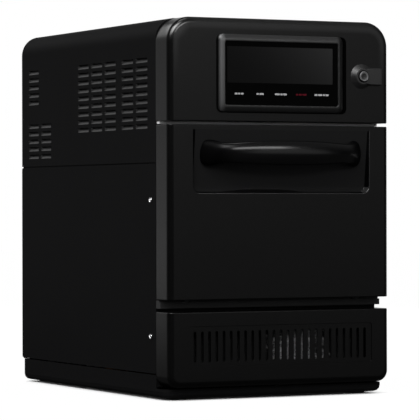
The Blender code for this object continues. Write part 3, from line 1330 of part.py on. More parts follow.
def make_cavity():
    """Stainless cooking chamber with its front flange and ledges, and the jacket around it."""
    half = CAVITY_HALF_WIDTH
    low = (-half - SHEET, CAVITY_FRONT, CAVITY_LOW - SHEET)
    high = (half + SHEET, CAVITY_BACK + SHEET, CAVITY_HIGH + SHEET)
    cavity = box("cavity_box", low, high)
    low = (-half - CAVITY_FLANGE, CAVITY_FRONT, CAVITY_LOW - CAVITY_FLANGE)
    high = (half + CAVITY_FLANGE, CAVITY_FRONT + SHEET, CAVITY_HIGH + CAVITY_FLANGE)
    join(cavity, box("cavity_flange", low, high))
    low = (-half, CAVITY_FRONT - OVERRUN, CAVITY_LOW)
    cut(cavity, box("cavity_hollow", low, (half, CAVITY_BACK, CAVITY_HIGH)))
    for name, side in (("left", -1), ("right", 1)):
        inner = side * (half - LEDGE_WIDTH)
        outer = side * (half + SHEET / 2)
        for ledge, top in (("floor", CERAMIC_LEDGE_HIGH), ("tray", TRAY_LEDGE_HIGH)):
            low = (min(inner, outer), CERAMIC_FRONT, top - LEDGE_THICK)
            high = (max(inner, outer), CERAMIC_BACK - OVERRUN, top)
            join(cavity, box(f"{name}_{ledge}_ledge", low, high))
    start = (0, FEED_Y, CAVITY_LOW - SHEET - OVERRUN)
    cut(cavity, drum("feed_hole", FEED_HOLE_RADIUS, start, (0, FEED_Y, CAVITY_LOW + SHEET)))
    for name, x, z, radius in heater_and_shaft_holes():
        start = (x, CAVITY_BACK - OVERRUN, z)
        end = (x, CAVITY_BACK + SHEET + OVERRUN, z)
        cut(cavity, drum(f"cavity_{name}", radius, start, end, sides=SMALL_SIDES))
    coat(cavity, "stainless")
    inner = half + SHEET + SEAT_GAP
    outer = inner + JACKET_THICK
    jacket_high = CAVITY_HIGH + SHEET + SEAT_GAP + JACKET_THICK
    low_z = CAVITY_LOW - SHEET
    jacket = box("cavity_jacket", (-outer, JACKET_FRONT, low_z), (outer, JACKET_BACK, jacket_high))
    low = (-inner, JACKET_FRONT - OVERRUN, low_z - OVERRUN)
    high = (inner, CAVITY_BACK + SHEET + SEAT_GAP, CAVITY_HIGH + SHEET + SEAT_GAP)
    cut(jacket, box("jacket_hollow", low, high))
    for name, x, z, radius in heater_and_shaft_holes():
        start = (x, CAVITY_BACK, z)
        end = (x, JACKET_BACK + OVERRUN, z)
        hole = radius + SHEET
        cut(jacket, drum(f"jacket_{name}", hole, start, end, sides=SMALL_SIDES))
    coat(jacket, "insulation")


def heater_leg_places():
    """Where the element's two legs pass the cavity's back wall: (x, z)."""
    places = []
    for side in (-1, 1):
        angle = math.radians(270 + side * HEATER_GAP_ANGLE / 2)
        x = HEATER_RING_RADIUS * math.cos(angle)
        z = BLOWER_Z + HEATER_RING_RADIUS * math.sin(angle)
        places.append((x, z))
    return places


def heater_and_shaft_holes():
    """Round holes in the cavity's back wall: name, x, z, radius."""
    holes = [("shaft_hole", 0, BLOWER_Z, BLOWER_WALL_HOLE)]
    for i, (x, z) in enumerate(heater_leg_places()):
        holes.append((f"leg_hole_{i}", x, z, HEATER_TUBE_RADIUS + SEAT_GAP))
    return holes


def make_cavity_fittings():
    """Ceramic floor, cooking tray and rear air baffle."""
    half = CAVITY_HALF_WIDTH - SEAT_GAP
    low = (-half, CERAMIC_FRONT, CERAMIC_LEDGE_HIGH + SEAT_GAP)
    high = (half, CERAMIC_BACK, CERAMIC_LEDGE_HIGH + SEAT_GAP + CERAMIC_THICK)
    coat(box("ceramic_floor", low, high), "ceramic")
    tray_low = TRAY_LEDGE_HIGH + SEAT_GAP
    low = (-TRAY_HALF_WIDTH, TRAY_FRONT, tray_low)
    tray = box("cooking_tray", low, (TRAY_HALF_WIDTH, TRAY_BACK, tray_low + TRAY_TALL))
    low = (-TRAY_HALF_WIDTH + TRAY_WALL, TRAY_FRONT + TRAY_WALL, tray_low + TRAY_WALL)
    high = (TRAY_HALF_WIDTH - TRAY_WALL, TRAY_BACK - TRAY_WALL, tray_low + TRAY_TALL + OVERRUN)
    coat(cut(tray, box("tray_hollow", low, high)), "stainless")
    slots = []
    for i in range(BAFFLE_SLOTS):
        z = BLOWER_Z + (i - (BAFFLE_SLOTS - 1) / 2) * BAFFLE_SLOT_PITCH
        tall = BAFFLE_SLOT_TALL / 2
        slots.append(rounded_outline(-BAFFLE_INTAKE_HALF, BAFFLE_INTAKE_HALF, z - tall, z + tall))
        for side in (-1, 1):
            x = side * BAFFLE_SIDE_SLOT_X
            reach = BAFFLE_SIDE_SLOT_HALF
            slots.append(rounded_outline(x - reach, x + reach, z - tall, z + tall))
    outline = rounded_outline(-half, half, CAVITY_LOW + SEAT_GAP, CAVITY_HIGH - SEAT_GAP)
    coat(front_plate("rear_baffle", [outline, *slots], BAFFLE_FRONT, BAFFLE_FRONT + SHEET), "stainless")


def make_blower():
    """Hot-air wheel on its axis, its motor on a pedestal, and the heating element around the wheel."""
    axis = new_axis("blower_axis", (0, BLOWER_BACK, BLOWER_Z), OVEN)
    plate_front = BLOWER_BACK - BLOWER_PLATE
    wheel = drum("blower_wheel", BLOWER_RADIUS, (0, plate_front, BLOWER_Z), (0, BLOWER_BACK, BLOWER_Z), axis)
    shape = bmesh.new()
    for i in range(BLOWER_BLADES):
        size = (BLOWER_RADIUS - BLOWER_BLADE_INNER, BLOWER_BACK - BLOWER_FRONT, BLOWER_BLADE_THICK)
        reach = (BLOWER_RADIUS + BLOWER_BLADE_INNER) / 2 - BLOWER_BLADE_THICK
        place = Matrix.Rotation(2 * math.pi * i / BLOWER_BLADES, 4, "Y")
        place @= Matrix.Translation((reach, (BLOWER_FRONT - BLOWER_BACK - BLOWER_PLATE) / 2, 0))
        bmesh.ops.create_cube(shape, size=1.0, matrix=place @ Matrix.Diagonal((*size, 1)))
    blades = mesh_object("blower_blades", shape, (0, BLOWER_BACK, BLOWER_Z), axis)
    hub_front = (BLOWER_FRONT + BLOWER_BACK) / 2
    hub = drum("blower_hub", BLOWER_HUB_RADIUS, (0, hub_front, BLOWER_Z), (0, BLOWER_BACK, BLOWER_Z), axis)
    shaft_start = (0, BLOWER_BACK - BLOWER_PLATE / 2, BLOWER_Z)
    shaft_end = (0, BLOWER_SHAFT_END, BLOWER_Z)
    shaft = drum("blower_shaft", BLOWER_SHAFT_RADIUS, shaft_start, shaft_end, axis, sides=SMALL_SIDES)
    join(wheel, hub, blades, shaft)
    coat(wheel, "stainless")
    motor_back = BLOWER_MOTOR_FRONT + BLOWER_MOTOR_LENGTH
    start = (0, BLOWER_MOTOR_FRONT, BLOWER_Z)
    motor = drum("blower_motor", BLOWER_MOTOR_RADIUS, start, (0, motor_back, BLOWER_Z))
    low = (-PEDESTAL_HALF_WIDTH, PEDESTAL_FRONT, DECK_HIGH + SEAT_GAP)
    join(motor, box("motor_pedestal", low, (PEDESTAL_HALF_WIDTH, PEDESTAL_BACK, BLOWER_Z)))
    bore_start = (0, BLOWER_MOTOR_FRONT - OVERRUN, BLOWER_Z)
    bore_end = (0, BLOWER_MOTOR_FRONT + BLOWER_MOTOR_BORE, BLOWER_Z)
    bore = BLOWER_SHAFT_RADIUS + SHAFT_CLEARANCE
    cut(motor, drum("motor_bore", bore, bore_start, bore_end))
    coat(motor, "galvanised")


def heater_route():
    """Centre line of the element: a leg, a bend, the ring, a bend and a leg."""
    points = []
    gap = HEATER_GAP_ANGLE / 2
    ring_start = math.radians(270 + gap)
    ring_sweep = math.radians(360 - 2 * gap)
    bend_angle = HEATER_BEND / HEATER_RING_RADIUS

    def on_ring(angle, depth):
        x = HEATER_RING_RADIUS * math.cos(angle)
        return (x, depth, BLOWER_Z + HEATER_RING_RADIUS * math.sin(angle))

    points.append(on_ring(ring_start, HEATER_LEG_END))
    for i in range(ARC_STEPS + 1):
        turn = math.radians(90 * i / ARC_STEPS)
        angle = ring_start + bend_angle * (1 - math.cos(turn))
        points.append(on_ring(angle, HEATER_Y + HEATER_BEND * (1 - math.sin(turn))))
    sweep = ring_sweep - 2 * bend_angle
    for i in range(1, HEATER_STEPS):
        points.append(on_ring(ring_start + bend_angle + sweep * i / HEATER_STEPS, HEATER_Y))
    for i in reversed(range(ARC_STEPS + 1)):
        turn = math.radians(90 * i / ARC_STEPS)
        angle = ring_start + ring_sweep - bend_angle * (1 - math.cos(turn))
        points.append(on_ring(angle, HEATER_Y + HEATER_BEND * (1 - math.sin(turn))))
    points.append(on_ring(ring_start + ring_sweep, HEATER_LEG_END))
    return points


def make_heating_element():
    """Round tubular element around the blower wheel, its legs through the cavity's back wall."""
    curve = bpy.data.curves.new("heating_element", "CURVE")
    curve.dimensions = "3D"
    curve.bevel_depth = HEATER_TUBE_RADIUS
    curve.bevel_resolution = 2
    curve.use_fill_caps = True
    route = heater_route()
    spline = curve.splines.new("POLY")
    spline.points.add(len(route) - 1)
    for point, place in zip(spline.points, route):
        point.co = (*place, 1)
    element = bpy.data.objects.new("heating_element", curve)
    stand(element, (0, 0, 0), None)
    coat(element, "heater_alloy")


def make_microwave_feed():
    """Waveguide, magnetron, and the turning antenna with its motor."""
    low = (GUIDE_LEFT, GUIDE_FRONT, DECK_HIGH + SEAT_GAP)
    high = (GUIDE_RIGHT, GUIDE_BACK, CAVITY_LOW - SHEET - SEAT_GAP)
    guide = box("waveguide", low, high)
    inner_low = tuple(value + SHEET for value in low)
    inner_high = tuple(value - SHEET for value in high)
    cut(guide, box("guide_hollow", inner_low, inner_high))
    mouth = (0, FEED_Y, high[2] - SHEET - OVERRUN)
    cut(guide, drum("guide_mouth", FEED_HOLE_RADIUS, mouth, (0, FEED_Y, high[2] + OVERRUN)))
    for name, x, radius in (
        ("guide_shaft_hole", 0, DECK_SHAFT_HOLE),
        ("guide_dome_hole", MAGNETRON_X, MAGNETRON_HOLE_RADIUS),
    ):
        start = (x, FEED_Y, low[2] - OVERRUN)
        cut(guide, drum(name, radius, start, (x, FEED_Y, low[2] + SHEET + OVERRUN)))
    coat(guide, "aluminium")
    top = DECK_LOW - SEAT_GAP
    low = (MAGNETRON_X - MAGNETRON_HALF, FEED_Y - MAGNETRON_HALF, top - MAGNETRON_TALL)
    high = (MAGNETRON_X + MAGNETRON_HALF, FEED_Y + MAGNETRON_HALF, top)
    magnetron = box("magnetron", low, high)
    start = (MAGNETRON_X, FEED_Y, top - OVERRUN)
    dome = drum("magnetron_dome", MAGNETRON_DOME_RADIUS, start, (*start[:2], top + MAGNETRON_DOME_TALL))
    join(magnetron, dome)
    slots = []
    for i in range(MAGNETRON_FIN_SLOTS):
        z = top - MAGNETRON_TALL / 2 + (i - (MAGNETRON_FIN_SLOTS - 1) / 2) * MAGNETRON_FIN_PITCH
        tall = MAGNETRON_FIN_SLOT_TALL / 2
        for face in (-1, 1):
            near = FEED_Y + face * (MAGNETRON_HALF - MAGNETRON_FIN_DEPTH)
            far = FEED_Y + face * (MAGNETRON_HALF + OVERRUN)
            slot_low = (MAGNETRON_X - MAGNETRON_HALF + MAGNETRON_FIN_SLOT_TALL, min(near, far), z - tall)
            slot_high = (MAGNETRON_X + MAGNETRON_HALF - MAGNETRON_FIN_SLOT_TALL, max(near, far), z + tall)
            slots.append((slot_low, slot_high))
    coat(cut(magnetron, boxes("magnetron_fins", slots)), "aluminium")
    make_stirrer()


def make_stirrer():
    """Turning antenna under the ceramic floor and the motor that hangs from the lower deck."""
    axis = new_axis("stirrer_axis", (0, FEED_Y, ANTENNA_LOW), OVEN)
    plate_high = ANTENNA_LOW + ANTENNA_THICK
    antenna = drum("stirrer_antenna", ANTENNA_RADIUS, (0, FEED_Y, ANTENNA_LOW), (0, FEED_Y, plate_high), axis)
    shaft_high = ANTENNA_LOW + ANTENNA_THICK / 2
    start = (0, FEED_Y, ANTENNA_SHAFT_LOW)
    radius = ANTENNA_SHAFT_RADIUS
    join(antenna, drum("antenna_shaft", radius, start, (0, FEED_Y, shaft_high), axis, sides=SMALL_SIDES))
    for i in range(ANTENNA_WINDOWS):
        angle = 2 * math.pi * i / ANTENNA_WINDOWS
        x = ANTENNA_WINDOW_PLACE * math.cos(angle)
        y = FEED_Y + ANTENNA_WINDOW_PLACE * math.sin(angle)
        start = (x, y, ANTENNA_LOW - OVERRUN)
        end = (x, y, plate_high + OVERRUN)
        window = drum(f"antenna_window_{i}", ANTENNA_WINDOW_RADIUS, start, end, axis, sides=SMALL_SIDES)
        cut(antenna, window)
    coat(antenna, "aluminium")
    top = DECK_LOW - SEAT_GAP
    low = (0, FEED_Y, top - STIRRER_MOTOR_TALL)
    motor = drum("stirrer_motor", STIRRER_MOTOR_RADIUS, low, (0, FEED_Y, top))
    bore = ANTENNA_SHAFT_RADIUS + SHAFT_CLEARANCE
    start = (0, FEED_Y, top - STIRRER_BORE_DEPTH)
    cut(motor, drum("stirrer_bore", bore, start, (0, FEED_Y, top + OVERRUN), sides=SMALL_SIDES))
    coat(motor, "galvanised")


def make_high_voltage_parts():
    """Transformer and capacitor on the base pan's floor."""
    floor = BASE_FLOOR + SEAT_GAP
    left, front = TRANSFORMER_LEFT, TRANSFORMER_FRONT
    right, back = left + TRANSFORMER_WIDTH, front + TRANSFORMER_DEPTH
    inset = TRANSFORMER_DEPTH * (1 - TRANSFORMER_CORE_SHARE) / 2
    low = (left, front + inset, floor)
    core = box("hv_transformer", low, (right, back - inset, floor + TRANSFORMER_TALL))
    side_inset = TRANSFORMER_WIDTH * (1 - TRANSFORMER_COIL_SHARE) / 2
    top_inset = TRANSFORMER_TALL * (1 - TRANSFORMER_COIL_SHARE) / 2
    low = (left + side_inset, front, floor + top_inset)
    high = (right - side_inset, back, floor + TRANSFORMER_TALL - top_inset)
    coat(join(core, box("transformer_coil", low, high)), "copper_coil")
    left, front = CAPACITOR_LEFT, CAPACITOR_FRONT
    right, back = left + CAPACITOR_WIDTH, front + CAPACITOR_DEPTH
    radius = CAPACITOR_DEPTH * CAPACITOR_ROUND_SHARE
    can = plan_plate(
        "hv_capacitor",
        [rounded_outline(left, right, front, back, radius, radius)],
        floor,
        floor + CAPACITOR_TALL,
    )
    for name, side in (("left", -1), ("right", 1)):
        x = (left + right + side * TERMINAL_SPACING) / 2
        y = (front + back) / 2
        start = (x, y, floor + CAPACITOR_TALL - TERMINAL_RADIUS)
        end = (x, y, floor + CAPACITOR_TALL + TERMINAL_TALL)
        join(can, drum(f"{name}_capacitor_terminal", TERMINAL_RADIUS, start, end, sides=SMALL_SIDES))
    coat(smooth(can), "aluminium")


def make_cooling_fan():
    """Axial fan behind the intake: square frame with struts, and the turning impeller."""
    floor = BASE_FLOOR + SEAT_GAP
    centre_z = floor + FAN_HALF
    back = FAN_FRONT + FAN_DEPTH
    outline = rounded_outline(-FAN_HALF, FAN_HALF, floor, floor + 2 * FAN_HALF)
    bore = circle_outline((0, centre_z), FAN_BORE_RADIUS, 2 * ROUND_SIDES)
    frame = front_plate("cooling_fan_frame", [outline, bore], FAN_FRONT, back)
    strut_front = back - FAN_STRUT_DEPTH
    half = FAN_STRUT_WIDTH / 2
    reach = FAN_BORE_RADIUS + half
    upright = box("fan_strut_upright", (-half, strut_front, centre_z - reach), (half, back, centre_z + reach))
    level = box("fan_strut_level", (-reach, strut_front, centre_z - half), (reach, back, centre_z + half))
    hub = drum("fan_stator", FAN_HUB_RADIUS, (0, strut_front, centre_z), (0, back, centre_z))
    join(frame, upright, level, hub)
    start = (0, strut_front - OVERRUN, centre_z)
    cut(frame, drum("fan_hub_bore", FAN_HUB_BORE, start, (0, back + OVERRUN, centre_z), sides=SMALL_SIDES))
    coat(frame, "dark_plastic")
    axis = new_axis("cooling_fan_axis", (0, FAN_FRONT, centre_z), OVEN)
    rotor_back = strut_front - 2 * SHAFT_CLEARANCE
    rotor_front = FAN_FRONT + FAN_STRUT_DEPTH
    rotor = drum(
        "cooling_fan_impeller", FAN_HUB_RADIUS, (0, rotor_front, centre_z), (0, rotor_back, centre_z), axis
    )
    middle = (rotor_front + rotor_back) / 2
    chord = (rotor_back - rotor_front) / math.cos(math.radians(FAN_BLADE_PITCH)) * FAN_CHORD_SHARE
    shape = bmesh.new()
    for i in range(FAN_BLADES):
        size = (FAN_TIP_RADIUS - FAN_HUB_RADIUS * FAN_ROOT_SHARE, chord, FAN_BLADE_THICK)
        place = Matrix.Rotation(2 * math.pi * i / FAN_BLADES, 4, "Y")
        place @= Matrix.Translation((FAN_TIP_RADIUS - size[0] / 2 - FAN_BLADE_THICK, 0, 0))
        place @= Matrix.Rotation(math.radians(FAN_BLADE_PITCH), 4, "X")
        bmesh.ops.create_cube(shape, size=1.0, matrix=place @ Matrix.Diagonal((*size, 1)))
    blades = mesh_object("fan_blades", shape, (0, middle, centre_z), axis)
    stub_end = (0, rotor_back + FAN_STUB_LENGTH, centre_z)
    stub = drum("fan_stub", FAN_STUB_RADIUS, (0, middle, centre_z), stub_end, axis, sides=SMALL_SIDES)
    coat(join(rotor, blades, stub), "dark_plastic")


def make_power_board():
    """Relay board on short pillars over the upper deck."""
    low_z = UPPER_DECK_HIGH + SEAT_GAP + POWER_BOARD_LIFT
    half = POWER_BOARD_HALF_WIDTH
    low = (-half, POWER_BOARD_FRONT, low_z)
    board = box("power_board", low, (half, POWER_BOARD_BACK, low_z + BOARD_THICK))
    for across in (-1, 1):
        for y in (POWER_BOARD_FRONT + BOARD_INSET, POWER_BOARD_BACK - BOARD_INSET):
            x = across * (half - BOARD_INSET)
            start = (x, y, UPPER_DECK_HIGH + SEAT_GAP)
            end = (x, y, low_z + BOARD_THICK / 2)
            pillar = drum(f"power_pillar_{across}_{y:.3f}", PILLAR_RADIUS, start, end, sides=SMALL_SIDES)
            join(board, pillar)
    relays = []
    for i in range(RELAY_COUNT):
        x = (i - (RELAY_COUNT - 1) / 2) * RELAY_PITCH
        y = POWER_BOARD_BACK - 2 * RELAY_SIZE
        low = (x - RELAY_SIZE / 2, y - RELAY_SIZE / 2, low_z + BOARD_THICK / 2)
        relays.append((low, (x + RELAY_SIZE / 2, y + RELAY_SIZE / 2, low_z + RELAY_TALL)))
    coat(join(board, boxes("relays", relays)), "circuit_board")


def make_mains_entry():
    """Terminal block on the base floor and the cable gland through the rear panel."""
    floor = BASE_FLOOR + SEAT_GAP
    right = BLOCK_LEFT + BLOCK_WIDTH
    low = (BLOCK_LEFT, BLOCK_FRONT, floor)
    block = box("terminal_block", low, (right, BLOCK_FRONT + BLOCK_DEPTH, floor + BLOCK_TALL))
    slots = []
    for i in range(BLOCK_SLOTS):
        x = BLOCK_LEFT + BLOCK_WIDTH * (i + 0.5) / BLOCK_SLOTS
        half = BLOCK_SLOT_WIDTH / 2
        low = (x - half, BLOCK_FRONT - OVERRUN, floor + BLOCK_TALL / 2)
        slots.append((low, (x + half, BLOCK_FRONT + BLOCK_DEPTH + OVERRUN, floor + BLOCK_TALL + OVERRUN)))
    coat(cut(block, boxes("block_slots", slots)), "dark_plastic")
    # The gland's profile heights run from the rear panel's back face towards the back.
    seat = SEAT_GAP
    reach = BODY_DEPTH + GLAND_REACH - REAR_PANEL_BACK
    profile = [
        (GLAND_BORE_RADIUS, reach),
        (GLAND_DOME_RADIUS * GLAND_TAPER_SHARE, reach),
        (GLAND_DOME_RADIUS, reach * GLAND_TAPER_SHARE),
        (GLAND_DOME_RADIUS, seat + GLAND_FLANGE_THICK),
        (GLAND_FLANGE_RADIUS, seat + GLAND_FLANGE_THICK),
        (GLAND_FLANGE_RADIUS, seat),
        (GLAND_BARREL_RADIUS, seat),
        (GLAND_BARREL_RADIUS, -GLAND_BARREL_LENGTH),
        (GLAND_BORE_RADIUS, -GLAND_BARREL_LENGTH),
    ]
    gland = turned(
        "cable_gland", profile, (GLAND_X, REAR_PANEL_BACK, GLAND_Z), FACING_BACK, closed=True
    )
    coat(gland, "dark_plastic")


def make_door():
    """Everything that swings on the bottom hinge."""
    axis = new_axis("door_hinge_axis", (0, HINGE_Y, HINGE_Z), OVEN)
    make_door_shell(axis)
    make_door_handle(axis)
    make_door_inside(axis)
    make_hinges(axis)


def make_oven():
    """Build every piece."""
    make_upper_cover()
    make_side_panels()
    make_side_screws()
    make_rear_panel()
    make_base_pan()
    make_feet()
    make_front_frame()
    make_sill_bar()
    make_decks()
    make_control_head()
    make_display()
    make_power_button()
    make_door()
    make_interlock_switches()
    make_lower_front_panel()
    make_cavity()
    make_cavity_fittings()
    make_blower()
    make_heating_element()
    make_microwave_feed()
    make_high_voltage_parts()
    make_cooling_fan()
    make_power_board()
    make_mains_entry()
    bpy.context.view_layer.update()


make_oven()
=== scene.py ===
"""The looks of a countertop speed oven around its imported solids, laid out as a Blender add-on."""

import json
import math
from functools import partial

import bmesh
import bpy
from mathutils import Matrix, Vector


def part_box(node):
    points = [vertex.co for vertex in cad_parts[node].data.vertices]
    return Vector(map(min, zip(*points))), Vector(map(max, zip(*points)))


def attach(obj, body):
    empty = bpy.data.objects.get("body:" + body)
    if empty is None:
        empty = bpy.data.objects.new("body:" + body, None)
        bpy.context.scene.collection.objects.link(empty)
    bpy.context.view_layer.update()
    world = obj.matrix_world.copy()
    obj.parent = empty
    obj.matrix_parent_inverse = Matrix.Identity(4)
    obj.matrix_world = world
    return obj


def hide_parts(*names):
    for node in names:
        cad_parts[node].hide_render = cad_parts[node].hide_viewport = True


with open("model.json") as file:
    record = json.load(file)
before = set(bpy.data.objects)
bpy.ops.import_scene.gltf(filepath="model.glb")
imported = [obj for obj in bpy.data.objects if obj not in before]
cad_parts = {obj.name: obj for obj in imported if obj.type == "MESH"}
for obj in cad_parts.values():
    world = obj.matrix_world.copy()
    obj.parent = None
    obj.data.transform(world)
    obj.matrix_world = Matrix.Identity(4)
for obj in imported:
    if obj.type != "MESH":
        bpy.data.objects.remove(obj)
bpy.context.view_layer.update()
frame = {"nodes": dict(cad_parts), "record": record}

bl_info = {
    "name": "Speed oven",
    "version": (1, 0, 0),
    "blender": (4, 5, 0),
    "location": "View3D > Sidebar > Speed oven",
    "description": "Builds the visible pieces of a countertop speed oven and the studio it stands in",
    "category": "Object",
}

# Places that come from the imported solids
SHELL_LOW, SHELL_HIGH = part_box("door_shell")
COVER_LOW, COVER_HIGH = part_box("upper_cover")
PANEL_LOW, PANEL_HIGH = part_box("lower_front_panel")
BEZEL_LOW, BEZEL_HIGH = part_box("display_bezel")
GLASS_LOW, GLASS_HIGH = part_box("display_glass")
HOUSING_LOW, HOUSING_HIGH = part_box("power_button_housing")
CAP_LOW, CAP_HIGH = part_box("power_button_cap")
DRIP_LIP_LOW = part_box("control_head")[0].z
FRONT = SHELL_LOW.y
HALF_WIDTH = SHELL_HIGH.x
BODY_HIGH = COVER_HIGH.z
MOULDING_DEPTH = PANEL_HIGH.y - FRONT
DOOR_DEPTH = SHELL_HIGH.y - FRONT

# Lengths and places in metres: the lower edge of the head's face, the cover's sheet, how close points are
# to be one, the middle of the button, how far right of the middle the handle sits, and the screen's left,
# right, lower and upper edge
HEAD_LOW = 0.4369
SHEET = 0.0015
MILLIMETRE = 0.001
WELD = 0.00001
ORIGIN = (0.0, 0.0, 0.0)
BUTTON = (0.1470, 0.5118)
HANDLE_MIDDLE = 0.003
SCREEN = (-0.0985, 0.0904, 0.4976, 0.5548)


# Shader maths


class Channel:
    """A shader socket that plain arithmetic can be written on."""

    def __init__(self, shading, socket):
        self.shading = shading
        self.socket = socket

    def __add__(self, other):
        return self.shading.number("ADD", self, other)

    def __radd__(self, other):
        return self.shading.number("ADD", other, self)

    def __sub__(self, other):
        return self.shading.number("SUBTRACT", self, other)

    def __rsub__(self, other):
        return self.shading.number("SUBTRACT", other, self)

    def __mul__(self, other):
        return self.shading.number("MULTIPLY", self, other)

    def __rmul__(self, other):
        return self.shading.number("MULTIPLY", other, self)

    def __truediv__(self, other):
        return self.shading.number("DIVIDE", self, other)

    def __pow__(self, other):
        return self.shading.number("POWER", self, other)


def setting(value):
    """The look of that name among the scene's settings, or the value itself."""
    return getattr(bpy.context.scene.oven_colours, value) if isinstance(value, str) else value


def tinted(colour, times=1.0):
    """A colour times a number, with its alpha."""
    return (*(min(1.0, channel * times) for channel in setting(colour)[:3]), 1)


def grey(level):
    """A grey colour."""
    return (level, level, level)


class Shading:
    """A node tree that is written as expressions."""

    def __init__(self, tree):
        self.tree = tree

    def node(self, kind, settings, values, output=0):
        """Adds one node: its type, its settings, then the values or links of its sockets."""
        made = self.tree.nodes.new(kind)
        for name, value in settings.items():
            if name == "stops":
                ramp = made.color_ramp
                while len(ramp.elements) < len(value):
                    ramp.elements.new(0.5)
                for element, (place, level) in zip(ramp.elements, value):
                    element.position = place
                    element.color = (*grey(level), 1)
            else:
                setattr(made, name, value)
        for name, value in values.items():
            self.feed(made.inputs[name], value)
        return Channel(self, made.outputs[output])

    def feed(self, socket, value):
        """Links a channel to a socket, or sets a plain value on it."""
        if isinstance(value, Channel):
            self.tree.links.new(value.socket, socket)
        else:
            socket.default_value = value

    def number(self, operation, *values, clamp=False):
        """Maths on numbers."""
        settings = {"operation": operation, "use_clamp": clamp}
        return self.node("ShaderNodeMath", settings, dict(enumerate(values)))

    def vector(self, operation, *values):
        """Maths on vectors. A length, a distance and a product come out as numbers."""
        output = "Value" if operation in ("LENGTH", "DISTANCE", "DOT_PRODUCT") else "Vector"
        return self.node("ShaderNodeVectorMath", {"operation": operation}, dict(enumerate(values)), output)

    def ray(self, kind):
        """1 for rays of a kind and 0 for all others."""
        return self.node("ShaderNodeLightPath", {}, {}, f"Is {kind} Ray")

    def place(self, stretch=None):
        """Where a point lies on the piece at rest, scaled along each axis if that is wanted."""
        place = self.node("ShaderNodeTexCoord", {}, {}, "Object")
        return self.vector("MULTIPLY", place, stretch) if stretch else place

    def axis(self, name, vector=None):
        """One coordinate of a vector, or else of the place."""
        return self.node("ShaderNodeSeparateXYZ", {}, {"Vector": vector or self.place()}, name)

    def pattern(self, kind, scale, settings, values, output):
        """A texture over the place, with one scale or one for each axis."""
        stretch, scale = (scale, 1) if isinstance(scale, tuple) else (None, scale)
        return self.node(kind, settings, {"Vector": self.place(stretch), "Scale": scale, **values}, output)

    def noise(self, scale, detail, roughness=0.5):
        """Soft noise from 0 to 1."""
        values = {"Detail": detail, "Roughness": roughness}
        return self.pattern("ShaderNodeTexNoise", scale, {}, values, "Fac")

    def cells(self, scale, feature="F1", output="Distance"):
        """Cells, or the distance to their edges."""
        return self.pattern("ShaderNodeTexVoronoi", scale, {"feature": feature}, {}, output)

    def steps(self, value, stops):
        """A grey ramp."""
        return self.node("ShaderNodeValToRGB", {"stops": stops}, {"Fac": value})

    def between(self, share, first, second):
        """A colour between two, by a share."""
        first, second = (side if isinstance(side, Channel) else tinted(side) for side in (first, second))
        return self.node("ShaderNodeMix", {"data_type": "RGBA"}, {0: share, 6: first, 7: second}, 2)

    def outside(self, middle, half, axes):
        """How far a point lies outside a box, along the axes that count."""
        beside = self.vector("ABSOLUTE", self.vector("SUBTRACT", self.place(), middle))
        past = self.vector("MAXIMUM", self.vector("SUBTRACT", beside, half), ORIGIN)
        return self.vector("LENGTH", self.vector("MULTIPLY", past, axes))


class Finish(Shading):
    """A material under construction around one Principled shader."""

    def __init__(self, colour, specular=0.5, metallic=0.0, coat_roughness=0.1):
        self.material = bpy.data.materials.new("finish")
        self.material.use_nodes = True
        super().__init__(self.material.node_tree)
        self.shader = self.tree.nodes["Principled BSDF"]
        self.colour = tinted(colour)
        self.give("Base Color", self.colour)
        self.give("Specular IOR Level", setting(specular))
        self.give("Metallic", metallic)
        self.give("Coat Roughness", coat_roughness)

    def give(self, socket, value):
        """Feeds one socket of the shader."""
        self.feed(self.shader.inputs[socket], value)

    def shades(self, share, other):
        """Varies the base colour towards another one, or towards itself times a number."""
        other = tinted(self.colour, other) if isinstance(other, float) else other
        self.give("Base Color", self.between(share, self.colour, other))

    def done(self, roughness, height, depth):
        """Gives the roughness, and a relief of a height from 0 to 1 times a depth in metres."""
        self.give("Roughness", roughness)
        bump = self.node("ShaderNodeBump", {}, {"Strength": 1.0, "Distance": depth, "Height": height})
        self.give("Normal", bump)
        return self.material


# Finishes


def grained(colour, specular, metallic, scale, detail, lift, roughness, spread, depth):
    """A grain alone, which varies the colour, the roughness and the height."""
    finish = Finish(colour, specular, metallic)
    grain = finish.noise(scale, detail)
    finish.shades(grain, lift)
    return finish.done(roughness + grain * spread, grain, depth)


def plated_metal(colour, roughness, stretch):
    """Metal with fine tooling marks along one way."""
    finish = Finish(tinted(colour, 0.82), metallic=1.0)
    streaks = finish.noise(stretch, 4, 0.6)
    finish.shades(streaks * 0.6 + finish.noise(14, 2) * 0.4, colour)
    return finish.done(roughness + streaks * 0.12, streaks, 0.000006)


def printed_mark(colour):
    """Printed ink that the display lights from behind."""
    finish = Finish(colour, 0.08)
    grain = finish.noise(3000, 2)
    finish.shades(grain, 1.1)
    finish.give("Roughness", 0.4)
    finish.give("Emission Color", finish.between(grain, colour, tinted(colour, 0.8)))
    finish.give("Emission Strength", 0.14)
    return finish.material


def powder_coat():
    """Fine black powder coat on sheet metal: faint orange peel over a tight speckle."""
    finish = Finish("coat", "coat_shine")
    speckle = finish.noise(1400, 3)
    finish.shades(speckle * 0.5 + finish.noise(9, 2) * 0.5, 1.25)
    return finish.done(0.44 + speckle * 0.14, speckle * 0.45 + finish.noise(320, 1) * 0.55, 0.00004)


